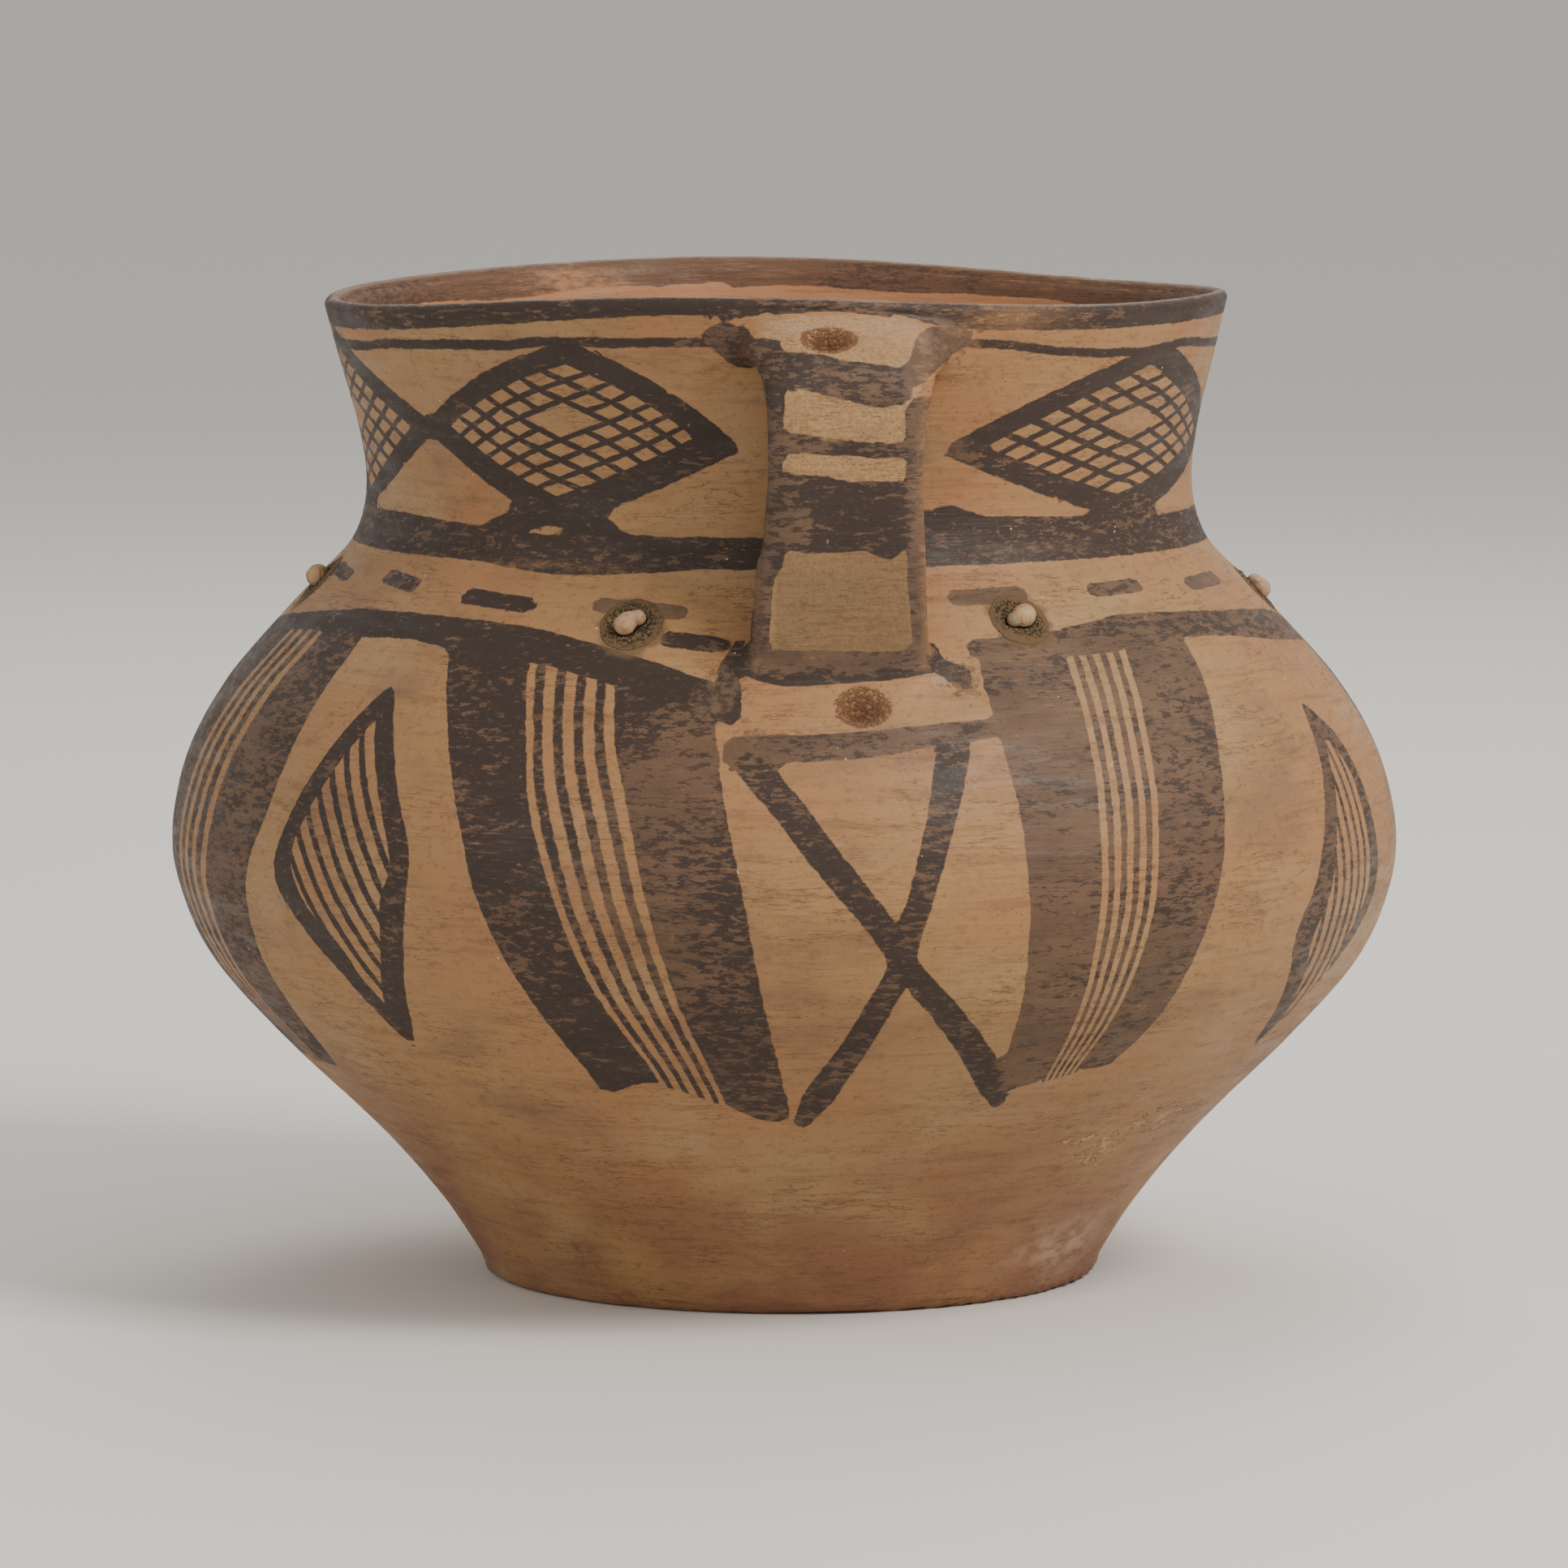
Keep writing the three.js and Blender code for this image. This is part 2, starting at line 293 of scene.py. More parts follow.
def strap_point(share, across, out, slant):
    """Points of the strap at -Y: across from -1 to 1, and out from -1, inside, to 1."""
    line, way = along(STRAP_LINE, share)
    dish = np.where(out > 0, HANDLE_DISH * (1 - across**2), 0)
    away = out * (HANDLE_THICKNESS / 2 - SKIN / 2) - dish
    aside = across * (strap_width(share) / 2 - SKIN / 2)
    bend = 1 - smooth(share, *TOP_BEND) + smooth(share, *FOOT_BEND)
    bend = bend * aside**2 / (2 * RIM_RADIUS)
    droop = HANDLE_DROOP * across**4 * (1 - smooth(share, 0, TOP_BEND[1]))
    skew = HANDLE_SKEW * slant * (0.5 - share)
    reach = line[..., 0] - way[..., 1] * away - bend
    height = line[..., 1] + way[..., 0] * away - droop
    return np.stack([aside + skew, -reach, height], -1)


def strap(azimuth, slant, rings=70, sides=48):
    """A strap handle as a closed tube whose ends lie inside the wall."""
    share = np.repeat(np.linspace(0, 1, rings + 1)[:, None], sides, axis=1)
    angle = np.linspace(0, 2 * np.pi, sides, endpoint=False)[None] + 0 * share
    across = np.sign(np.cos(angle)) * np.abs(np.cos(angle)) ** EDGE_SQUARENESS[0]
    out = np.sign(np.sin(angle)) * np.abs(np.sin(angle)) ** EDGE_SQUARENESS[1]
    points = strap_point(share, across, out, slant).reshape(-1, 3)
    points = turned(points, azimuth)
    faces = []
    for ring in range(rings):
        for side in range(sides):
            a = ring * sides + side
            b = ring * sides + (side + 1) % sides
            faces.append((a, b, b + sides, a + sides))
    faces.append(tuple(reversed(range(sides))))
    faces.append(tuple(range(rings * sides, (rings + 1) * sides)))
    return points, faces


def turned(points, degrees):
    """Points turned about the upright axis."""
    c = math.cos(math.radians(degrees))
    s = math.sin(math.radians(degrees))
    x, y, z = points.T
    return np.stack([c * x - s * y, s * x + c * y, z], 1)


def settle(points):
    """True points moved to where the hand-made jar has them: it leans, and its rim waves."""
    azimuth = np.arctan2(points[:, 0], -points[:, 1])
    share = smooth(points[:, 2], NECK_HEIGHT, RIM_HEIGHT)
    moved = points.copy()
    moved[:, 0] -= math.tan(math.radians(LEAN_DEGREES)) * (points[:, 2] - BELLY_HEIGHT)
    moved[:, 2] += share * rim_wave(azimuth)
    return moved


def rim_wave(azimuth):
    return RIM_WAVE_HEIGHT * sum(
        share * np.cos(lobes * (azimuth - math.radians(peak))) for lobes, share, peak in RIM_WAVES
    )


def lip_height(degrees):
    """The height of the lip's top at an azimuth."""
    return RIM_HEIGHT - SKIN / 2 + rim_wave(np.radians(degrees))


def new_mesh(name, points, faces):
    mesh = bpy.data.meshes.new(name)
    mesh.from_pydata((np.asarray(points) * MM).tolist(), [], faces)
    mesh.validate()
    return mesh


def new_object(name, mesh):
    made = bpy.data.objects.new(name, mesh)
    bpy.context.scene.collection.objects.link(made)
    return made


def joined(wall):
    """The body and its handles as one skin of even small faces."""
    closed = np.vstack([OUTER, INNER[::-1][1:]])
    straps = [strap(*handle) for handle in HANDLES]
    parts = [revolve(closed, BODY_SIDES), *((wall.held(tube), faces) for tube, faces in straps)]
    points = []
    faces = []
    for part_points, part_faces in parts:
        start = len(points)
        points.extend(part_points.tolist())
        faces.extend(tuple(start + i for i in face) for face in part_faces)
    rough = new_object("rough_jar", new_mesh("rough_jar", points, faces))
    remesh = rough.modifiers.new("even", "REMESH")
    remesh.mode = "VOXEL"
    remesh.voxel_size = GRAIN * MM
    depsgraph = bpy.context.evaluated_depsgraph_get()
    even = bpy.data.meshes.new_from_object(rough.evaluated_get(depsgraph))
    bpy.data.objects.remove(rough)
    return even


def places(mesh):
    flat = np.empty(len(mesh.vertices) * 3)
    mesh.vertices.foreach_get("co", flat)
    return flat.reshape(-1, 3) / MM


def place(mesh, points):
    mesh.vertices.foreach_set("co", (points * MM).ravel())
    mesh.update()


def normals_of(mesh):
    flat = np.empty(len(mesh.vertices) * 3)
    mesh.vertex_normals.foreach_get("vector", flat)
    return flat.reshape(-1, 3)


def keep(mesh, name, values):
    """Stores one number for each vertex, which a material can read."""
    attribute = mesh.attributes.new(name, "FLOAT", "POINT")
    attribute.data.foreach_set("value", values.astype(np.float32))


def to_end(curve):
    """The length of a curve from each of its points to its end."""
    steps = np.linalg.norm(np.diff(curve, axis=0), axis=1)
    return np.append(np.cumsum(steps[::-1])[::-1], 0)


class Wall:
    """Finds the nearest place of the wall's two skins, as (radius, height), for points."""

    def __init__(self):
        outer = finer(OUTER, 0.3)
        inner = finer(INNER, 0.3)
        self.curve = np.vstack([outer, inner])
        self.outer_count = len(outer)
        ways = np.vstack([np.gradient(outer, axis=0), np.gradient(inner, axis=0)])
        ways /= np.linalg.norm(ways, axis=1, keepdims=True)
        self.normal = np.stack([ways[:, 1], -ways[:, 0]], 1)
        self.past_lip = np.concatenate([-to_end(outer), to_end(inner)])
        self.tree = KDTree(len(self.curve))
        for i, (radius, height) in enumerate(self.curve):
            self.tree.insert((radius, height, 0), i)
        self.tree.balance()

    def find(self, points):
        """For each point: the nearest sample, and how far the point stands out from it."""
        radius = np.hypot(points[:, 0], points[:, 1])
        flat = np.stack([radius, points[:, 2]], 1)
        found = np.array([self.tree.find((r, z, 0))[1] for r, z in flat])
        gap = ((flat - self.curve[found]) * self.normal[found]).sum(1)
        return found, gap

    def held(self, points):
        """Points kept out of the hollow, a little within the wall."""
        found, gap = self.find(points)
        short = np.where(found >= self.outer_count, EMBEDDED - gap, 0)
        return self.moved(points, found, np.maximum(short, 0))

    def moved(self, points, found, distance):
        """Points moved along the wall's normal by a distance each."""
        radius = np.maximum(np.hypot(points[:, 0], points[:, 1]), 1e-6)
        out = self.normal[found]
        moved = points.copy()
        moved[:, :2] *= (1 + out[:, 0] * distance / radius)[:, None]
        moved[:, 2] += out[:, 1] * distance
        return moved


# The part of the jar that a strap can touch: how far aside, how far out and how high up.
# Points elsewhere count as far from any strap.
STRAP_ZONE = (28, 50, 82)
FAR = 99.0


def strap_distance(points):
    """How far each point lies outside the nearest strap, for points near one."""
    distance = np.full(len(points), FAR)
    aside, reach, low = STRAP_ZONE
    for azimuth, slant in HANDLES:
        local = turned(points, -azimuth)
        ahead = (local[:, 1] < -reach) & (local[:, 2] > low)
        near = np.flatnonzero((np.abs(local[:, 0]) < aside) & ahead)
        strap_points, faces = strap(0, slant)
        tree = BVHTree.FromPolygons(strap_points.tolist(), faces)
        for i in near:
            spot, normal, _, gap = tree.find_nearest(Vector(local[i]))
            sign = 1 if (Vector(local[i]) - spot).dot(normal) > 0 else -1
            distance[i] = min(distance[i], sign * gap)
    return distance


def relax(mesh, chosen, rounds):
    """Smooths chosen vertices, as wet clay is by a finger."""
    if not len(chosen):
        return
    shape = bmesh.new()
    shape.from_mesh(mesh)
    shape.verts.ensure_lookup_table()
    verts = [shape.verts[i] for i in chosen]
    every_way = {"use_axis_x": True, "use_axis_y": True, "use_axis_z": True}
    for _ in range(rounds):
        bmesh.ops.smooth_vert(shape, verts=verts, factor=0.5, **every_way)
    shape.to_mesh(mesh)
    shape.free()


def wall_spot(azimuth, height):
    """A place on the outer skin, not yet settled, and the wall's outward normal there."""
    i = int(np.argmin(np.abs(OUTSIDE[:, 1] - height)))
    radius = OUTSIDE[i, 0]
    out = outside_normals()[i]
    angle = math.radians(azimuth)
    spot = Vector((radius * math.sin(angle), -radius * math.cos(angle), OUTSIDE[i, 1]))
    return spot, Vector((out[0] * math.sin(angle), -out[0] * math.cos(angle), out[1]))


def top_socket(azimuth, slant):
    share, aside = TOP_SOCKET
    across = 2 * aside / strap_width(share)
    spot = strap_point(np.array([share]), np.array([across]), np.array([1.0]), slant)
    _, way = along(STRAP_LINE, [share])
    out = np.array([[0, way[0, 1], way[0, 0]]])
    return Vector(turned(spot, azimuth)[0]), Vector(turned(out, azimuth)[0]).normalized()


def low_socket(azimuth):
    below, aside = LOW_SOCKET
    landing = mix(BELLY_HEIGHT, NECK_HEIGHT, HANDLE_LANDING)
    return wall_spot(azimuth + aside, landing - below)


def stud_place(number):
    """The skin under a stud of the frame, the wall's normal there, and the way its bead lies."""
    low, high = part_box(f"bone_stud_{number}")
    middle = (low + high) / 2 / MM
    lean = math.tan(math.radians(LEAN_DEGREES)) * (middle.z - BELLY_HEIGHT)
    azimuth = math.degrees(math.atan2(middle.x + lean, -middle.y))
    _, out = wall_spot(azimuth, middle.z - STUD_RISE * 0.7)
    level = Vector((-out.y, out.x, 0)).normalized()
    rise = math.radians(BEAD_RISE[number % 2])
    way = level * math.cos(rise) + out.cross(level) * math.sin(rise)
    return middle - out * STUD_RISE, out, way


def frame_of(spot, out, way=(0.3, 0.5, 1)):
    """Three rows of unit vectors at a spot: x along way, y, and z out of the skin."""
    z = Vector(out).normalized()
    y = z.cross(Vector(way)).normalized()
    return np.array([y.cross(z), y, z])


def carve(points, spot, axes, size, depth, ragged=0.0):
    """Sinks a bowl into the skin at a spot, and tells how far down it each point lies, 0 to 1."""
    local = (points - np.array(spot)) @ axes.T
    reach = np.hypot(local[:, 0] / (size[0] / 2), local[:, 1] / (size[1] / 2))
    near = np.flatnonzero((reach < 1.25) & (np.abs(local[:, 2]) < 7))
    rough = (grain_noise(points[near], 1.4, 5) + grain_noise(points[near], 0.8, 6) * 0.6) * ragged
    bowl = (reach[near] ** 2 - 1) * depth + rough * smooth(1.25 - reach[near], 0, 0.4)
    soft = smooth(1.15 - reach[near], 0, 0.25)
    local[near, 2] = mix(local[near, 2], np.minimum(local[near, 2], bowl), soft)
    points[near] = local[near] @ axes + np.array(spot)
    sunk = np.zeros(len(points))
    sunk[near] = np.clip(1.1 - reach[near], 0, 1)
    return sunk


def grain_noise(points, size, seed):
    """Smooth noise from -1 to 1 whose lumps are about this many millimetres."""
    shift = Vector((seed * 7.3, seed * 3.1, seed * 5.7))
    return np.array([noise.noise(Vector(point) / size + shift) for point in points])


def halve(mesh, chosen):
    """Halves the faces among chosen vertices."""
    shape = bmesh.new()
    shape.from_mesh(mesh)
    shape.verts.ensure_lookup_table()
    picked = {shape.verts[i] for i in chosen}
    edges = [e for e in shape.edges if e.verts[0] in picked and e.verts[1] in picked]
    bmesh.ops.subdivide_edges(shape, edges=edges, cuts=1, use_grid_fill=True)
    shape.to_mesh(mesh)
    shape.free()


def refine(mesh, spots, reach):
    """Halves the faces around some spots."""
    points = places(mesh)
    gaps = [np.linalg.norm(points - np.array(spot), axis=1) for spot in spots]
    halve(mesh, np.flatnonzero(np.minimum.reduce(gaps) < reach))


def round_lip(mesh, wall):
    """Gives the lip finer faces, close to its true round."""
    for below in (3.2, 1.7):
        halve(mesh, np.flatnonzero(places(mesh)[:, 2] > RIM_HEIGHT - below))
        points = places(mesh)
        found, gap = wall.find(points)
        near = (points[:, 2] > RIM_HEIGHT - below) & (np.abs(gap) < 1)
        place(mesh, wall.moved(points, found, -gap * near))


def shape_jar():
    """The jar's mesh, and how far down a socket each of its vertices lies."""
    wall = Wall()
    mesh = joined(wall)
    points = places(mesh)
    found, gap = wall.find(points)
    inside = (found >= wall.outer_count) & (gap < INSIDE_REACH)
    near_strap = strap_distance(points)
    on_wall = np.where(inside, 1, smooth(near_strap, LUTING * 0.3, LUTING)) * (np.abs(gap) < 3)
    place(mesh, wall.moved(points, found, -gap * on_wall))
    joint = np.flatnonzero((np.abs(near_strap) < LUTING) & (gap < LUTING) & ~inside)
    relax(mesh, joint, 6)
    relax(mesh, np.flatnonzero((near_strap < LUTING) & ~inside), 2)
    round_lip(mesh, wall)

    studs = [stud_place(number + 1) for number in range(STUDS)]
    sockets = [(*top_socket(*handle), TOP_SOCKET_SIZE) for handle in HANDLES]
    sockets += [(*low_socket(azimuth), LOW_SOCKET_SIZE) for azimuth, _ in HANDLES]
    sockets = [(Vector(settle(np.array([spot]))[0]), out, size) for spot, out, size in sockets]
    lens = settle(np.array([wall_spot(*LENS)[0]]))
    place(mesh, settle(places(mesh)))
    refine(mesh, [*(spot for spot, *_ in studs + sockets), *lens], REFINED)

    points = places(mesh)
    for spot, out, way in studs:
        carve(points, spot, frame_of(spot, out, way), (PIT_WIDTH, PIT_WIDTH), PIT_DEPTH)
    carved = np.zeros(len(points))
    for spot, out, size in sockets:
        level = (-out.y, out.x, 0)
        sunk = carve(points, spot, frame_of(spot, out, level), size, SOCKET_DEPTH, SOCKET_RAGGED)
        carved = np.maximum(carved, sunk)
    place(mesh, points)
    return mesh, carved


def unsettled(points):
    """Where settled points lay before, near enough to read off paint and skins."""
    back = points.copy()
    back[:, 0] += math.tan(math.radians(LEAN_DEGREES)) * (points[:, 2] - BELLY_HEIGHT)
    wave = settle(back)[:, 2] - back[:, 2]
    back[:, 2] -= wave
    return back


def dent(mesh):
    """The small unevenness of a jar built by hand, which stays within the solid's box."""
    points = places(mesh)
    normals = normals_of(mesh)
    broad = grain_noise(points, 38, 1) * 0.22
    fine = grain_noise(points * (1, 1, 2.2), 9, 2) * 0.05
    straps = 1 - smooth(np.abs(strap_distance(unsettled(points))), 0.5, LUTING)
    lumps = grain_noise(points, 5, 3) * 0.28 * straps
    quiet = np.ones(len(points))
    for number in range(STUDS):
        spot = np.array(stud_place(number + 1)[0])
        quiet = np.minimum(quiet, smooth(np.linalg.norm(points - spot, axis=1), 5.5, 11))
    lift = (broad + fine + lumps) * smooth(points[:, 2], 0.5, 4) * quiet
    points += normals * lift[:, None]
    low, high = (np.array(corner) / MM for corner in cad_box)
    place(mesh, np.clip(points, low, high))


# How far outside its nearest stroke a vertex counts that no stroke comes near
REACH = 9.0

# How far out the wall's painting reaches, and how far out the painting of a strap begins
WALL_PAINTED = 2.2
STRAP_PAINTED = 1.3

# What is kept for each vertex: how deep it lies in a stroke and in a zone of lines, where
# the lines run and how wide, how much dark paint is left, and what wear and dirt did
BLANK = {
    "stroke": -REACH, "load": 1, "zone": -REACH, "line_a": 0.5, "line_b": 0.5, "half": 0,
    "wear": 0, "bare": 0, "smear": 0, "film": 0, "gouge": -REACH, "cream": 0, "chalk": 0,
    "crust": 0, "scuff": 0,
}


def share_between(start, end):
    """The share of the way between two edges, from the distances to both."""
    return start / np.where(np.abs(start + end) < 1, 1, start + end)


class Canvas:
    """A painted surface seen flat: where its vertices lie, and what the brush leaves there.

    across is in degrees on the wall and in millimetres on a strap, and up in millimetres.
    across_mm and up_mm are the millimetres of one step either way, at each vertex."""

    def __init__(self, index, across, up, across_mm, up_mm):
        self.index = index
        self.azimuth = across
        self.across = across
        self.up = up
        self.across_mm = across_mm
        self.up_mm = up_mm
        self.marks = {name: np.full(len(index), float(value)) for name, value in BLANK.items()}

    def facing(self, degrees):
        """Motifs laid from now on are turned about the axis by this much."""
        self.across = (self.azimuth - degrees + 180) % 360 - 180

    def beside(self, edge, side):
        """How far each vertex lies to one side (-1 left, 1 right) of an upright edge."""
        line = catmull(sorted(edge, key=lambda point: point[1]), 8)
        across = np.interp(self.up, line[:, 1], line[:, 0])
        slope = np.interp(self.up, line[:, 1], np.gradient(line[:, 0], line[:, 1]))
        steep = slope * self.across_mm / self.up_mm
        return side * (self.across - across) * self.across_mm / np.hypot(1, steep)

    def above(self, edge, side):
        """How far each vertex lies above (1) or below (-1) a level edge."""
        line = catmull(sorted(edge), 8)
        up = np.interp(self.across, line[:, 0], line[:, 1])
        slope = np.interp(self.across, line[:, 0], np.gradient(line[:, 1], line[:, 0]))
        steep = slope * self.up_mm / self.across_mm
        return side * (self.up - up) * self.up_mm / np.hypot(1, steep)

    def brush(self, *points):
        """The depth inside a brush stroke through (across, up, half width) points."""
        best = np.full(len(self.index), -REACH)
        for (a, b, half), (c, d, next_half) in zip(points, points[1:]):
            x = (a - self.across) * self.across_mm
            y = (b - self.up) * self.up_mm
            way_x = (c - a) * self.across_mm
            way_y = (d - b) * self.up_mm
            share = np.clip(-(x * way_x + y * way_y) / (way_x**2 + way_y**2), 0, 1)
            gap = np.hypot(x + share * way_x, y + share * way_y)
            best = np.maximum(best, mix(half, next_half, share) - gap)
        return best

    def lay(self, *depths, load=1.0):
        """Paints where all depths are positive."""
        depth = np.minimum.reduce(depths)
        better = depth > self.marks["stroke"]
        self.marks["load"][better] = load
        self.marks["stroke"][better] = depth[better]

    def stroke(self, *points, load=1.0):
        """Paints one brush stroke."""
        self.lay(self.brush(*points), load=load)

    def band(self, top, bottom, *depths, load=1.0):
        """Paints between two level edges, and only where the given depths are positive."""
        self.lay(self.above(top, -1), self.above(bottom, 1), *depths, load=load)

    def within(self, start, end):
        """How far each vertex lies between two places across."""
        return np.minimum(self.across - start, end - self.across) * self.across_mm

    def spare(self, depth):
        """Leaves bare what the brush went round."""
        self.marks["stroke"] = np.minimum(self.marks["stroke"], -depth)

    def rule(self, zone, first, second, half, load=1.0):
        """Fills a zone with lines half this wide where first or second is a whole number."""
        marks = self.marks
        better = zone > marks["zone"]
        marks["zone"][better] = zone[better]
        marks["line_a"][better] = np.broadcast_to(first, zone.shape)[better]
        marks["line_b"][better] = np.broadcast_to(second, zone.shape)[better]
        marks["half"][better] = half
        marks["load"][better & (marks["stroke"] < 0) & (zone > -1)] = load

    def thin_line(self, edge, half, start, end):
        """A thin level line through points, from one azimuth to another."""
        distance = self.above(edge, 1)
        zone = np.minimum(half * 2.5 - np.abs(distance), self.within(start, end))
        self.rule(zone, distance / 20, 0.5, half / 20)

    def lozenge(self, corners, bulges, bands, count=7, bare_from=3, load=0.86):
        """A banded lozenge filled with crossed lines around a bare middle.

        corners, bulges and bands start at the left corner and its upper side. There are
        seven first lines and count second ones, which the bare middle cuts from bare_from."""
        depths = []
        for k in range(4):
            (a, b), (c, d) = corners[k], corners[(k + 1) % 4]
            x = (a - self.across) * self.across_mm
            y = (b - self.up) * self.up_mm
            way_x = (c - a) * self.across_mm
            way_y = (d - b) * self.up_mm
            length = np.hypot(way_x, way_y)
            share = np.clip(-(x * way_x + y * way_y) / length**2, 0, 1)
            depths.append((y * way_x - x * way_y) / length + bulges[k] * 4 * share * (1 - share))
        outer = np.minimum.reduce(depths)
        inner = [depth - band for depth, band in zip(depths, bands)]
        within = np.minimum.reduce(inner)
        self.lay(outer, -within, load=load)
        first = share_between(inner[0], inner[2]) * 7
        second = share_between(inner[3], inner[1]) * count
        centres = ((first, 3), (second, bare_from + 1))
        bare = np.minimum.reduce([1.01 - np.abs(lines - centre) for lines, centre in centres])
        self.rule(np.minimum(within, -bare * 2.5), first, second, 0.155, load)

    def leaf(self, left, right, inner_left, inner_right, slant, first_line, spacing, load):
        """A half leaf: a band round slanting lines."""
        outer = np.minimum(self.beside(left, 1), self.beside(right, -1))
        tips = [point[1] for point in left]
        outer = np.minimum(outer, np.minimum(self.up - min(tips), max(tips) - self.up))
        inner = np.minimum(self.beside(inner_left, 1), self.beside(inner_right, -1))
        tips = [point[1] for point in inner_left]
        inner = np.minimum(inner, np.minimum(self.up - min(tips), max(tips) - self.up))
        self.lay(outer, -inner, load=load)
        lines = (self.across + slant * self.up - first_line) / spacing
        self.rule(inner, lines, 0.5, 0.2, load)

    def arc_panel(self, edges, bottom, top, stripes, load=(1.0, 1.0), below=None):
        """Two broad upright bands with thin stripes between them, from four edges."""
        left, gap_left, gap_right, right = edges
        low = self.above(bottom, 1)
        high = self.above(top, -1)
        self.lay(self.beside(left, 1), self.beside(gap_left, -1), low, high, load=load[0])
        self.lay(self.beside(gap_right, 1), self.beside(right, -1), low, high, load=load[1])
        start = self.beside(gap_left, 1)
        end = self.beside(gap_right, -1)
        share = share_between(start, end)
        count, first, half = stripes
        if below:
            self.lay(self.above(below, 1), start, end, high, load=load[0])
        zone = np.minimum.reduce([start, end, low, high])
        self.rule(zone, share * count - first, 0.5, half, load[1])

    def fade(self, centre, size, amount, kind="wear"):
        """Wears the paint, or smears dirt, around a centre."""
        x = (self.across - centre[0]) / size[0]
        y = (self.up - centre[1]) / size[1]
        self.marks[kind] = np.maximum(self.marks[kind], amount * np.exp(-(x**2) - y**2))


# The neck's lozenges as (turn, corners, bulges, bands) and, for one with other lines, their
# count and where its bare middle starts
LOZENGES = [
    (
        0, [(-61.5, 133.4), (-34, 147.4), (-11.6, 131.6), (-37.5, 119.5)],
        (1.5, 1.8, 0.6, 1.1), (3, 3.2, 4.2, 3.6),
    ),
    (0, [(14.2, 131), (52, 146), (82, 131), (47.5, 119.3)], (1.8, 1, 1.3, 1), (2.9, 4.2, 3.8, 3.1)),
    (
        0, [(-112, 133), (-86, 147), (-58.5, 133.3), (-86, 118.8)],
        (1.2, 0.6, 0.6, 1), (3.1, 3.2, 3, 3.4), 6, 2,
    ),
    (180, [(15, 132.5), (41, 147), (68, 133), (42, 119.4)], (1.3, 1.5, 0.8, 1.1), (3.1, 3, 3.6, 3.4)),
    (180, [(-98, 131), (-60, 147), (-14, 131.8), (-58, 119.4)], (1.4, 1.4, 1, 1), (3.2, 3.4, 3.6, 3.3)),
]


def paint_neck(wall):
    """The band at the lip, the thin line under it, and lozenges on a band at the neck's foot."""
    wall.facing(0)
    at = [-180, -80, -45, -20, 5, 20, 45, 70, 180]
    width = np.interp(wall.azimuth, at, [3.4, 4.0, 3.7, 2.9, 3.0, 3.9, 3.8, 3.6, 3.4])
    wall.lay((wall.up - lip_height(wall.azimuth) + width) * wall.up_mm)
    left = [(-180, 147), (-120, 145.6), (-81, 144.8), (-61, 145.9), (-45.6, 146.5), (-33.4, 147.3)]
    wall.thin_line([*left, (-13, 147.6)], 0.75, -165, -13)
    right = [(15, 147.3), (18.6, 147.1), (23.7, 146.8), (30, 145.6), (37, 145), (45, 144.8)]
    right += [(52.7, 145.1), (60, 145.4), (80, 144.5), (120, 145.3), (166, 147)]
    wall.thin_line(right, 0.7, 15, 165)
    for turn, *lozenge in LOZENGES:
        wall.facing(turn)
        wall.lozenge(*lozenge)
    for turn in (0, 180):
        wall.facing(turn)
        wall.band(
            [
                (-98, 119.4), (-82, 119.6), (-68.6, 119.8), (-51, 119.1), (-36, 119.3), (-19, 118.3),
                (-9.7, 118), (0, 119), (12.7, 121), (26, 121), (40, 120.2), (50, 119.6), (82, 118.6),
            ],
            [
                (-98, 114.2), (-82, 114.7), (-57, 114.6), (-41.4, 113), (-35, 112.7), (-24, 113.3),
                (-9.7, 114.6), (12.4, 116.5), (25.7, 116.7), (35, 115.8), (48, 115.3), (82, 114),
            ],
            load=0.72,
        )
        wall.stroke((12, 121.6, 1), (17, 121.4, 1.6), (21, 120.6, 0.8))
        wall.stroke((-11, 146, 2.4), (-13.2, 148.2, 2.6), (-15.2, 148.8, 1.3), load=0.5)
        wall.stroke((11, 145.4, 2.2), (13.6, 147.6, 2.4), (16.6, 147.8, 1.4), load=0.2)
    wall.facing(0)
    wall.stroke((-60.5, 133.4, 1.9), (-57.5, 133.2, 1.9))
    mound = [(-53, 118), (-45.1, 121.9), (-39.5, 123.2), (-30.9, 121.2), (-27, 117.6)]
    wall.band(mound, [(-60, 116.5), (-20, 116.5)], wall.within(-53, -27), load=0.8)
    wall.spare(wall.brush((-42.4, 118.6, 0.3), (-39.3, 119, 0.75), (-36.4, 118.9, 0.35)))


# The shoulder's dashes as (start, end, height, half width, load)
DASHES = [
    (-86, -75.5, 110.2, 1.2, 0.7), (-67.5, -57.5, 110.4, 1.4, 0.5), (-49.5, -37, 108.9, 1.5, 0.8),
    (-30.5, -17.5, 108.6, 1.4, 0.15), (-21, -12.5, 104.2, 1.5, 0.75), (13.5, 25, 110, 1.6, 0),
    (33.5, 44.5, 110.1, 1.35, 0.35), (53, 65, 109.6, 1.3, 0.3), (88, 97, 110, 1.3, 0.6),
]


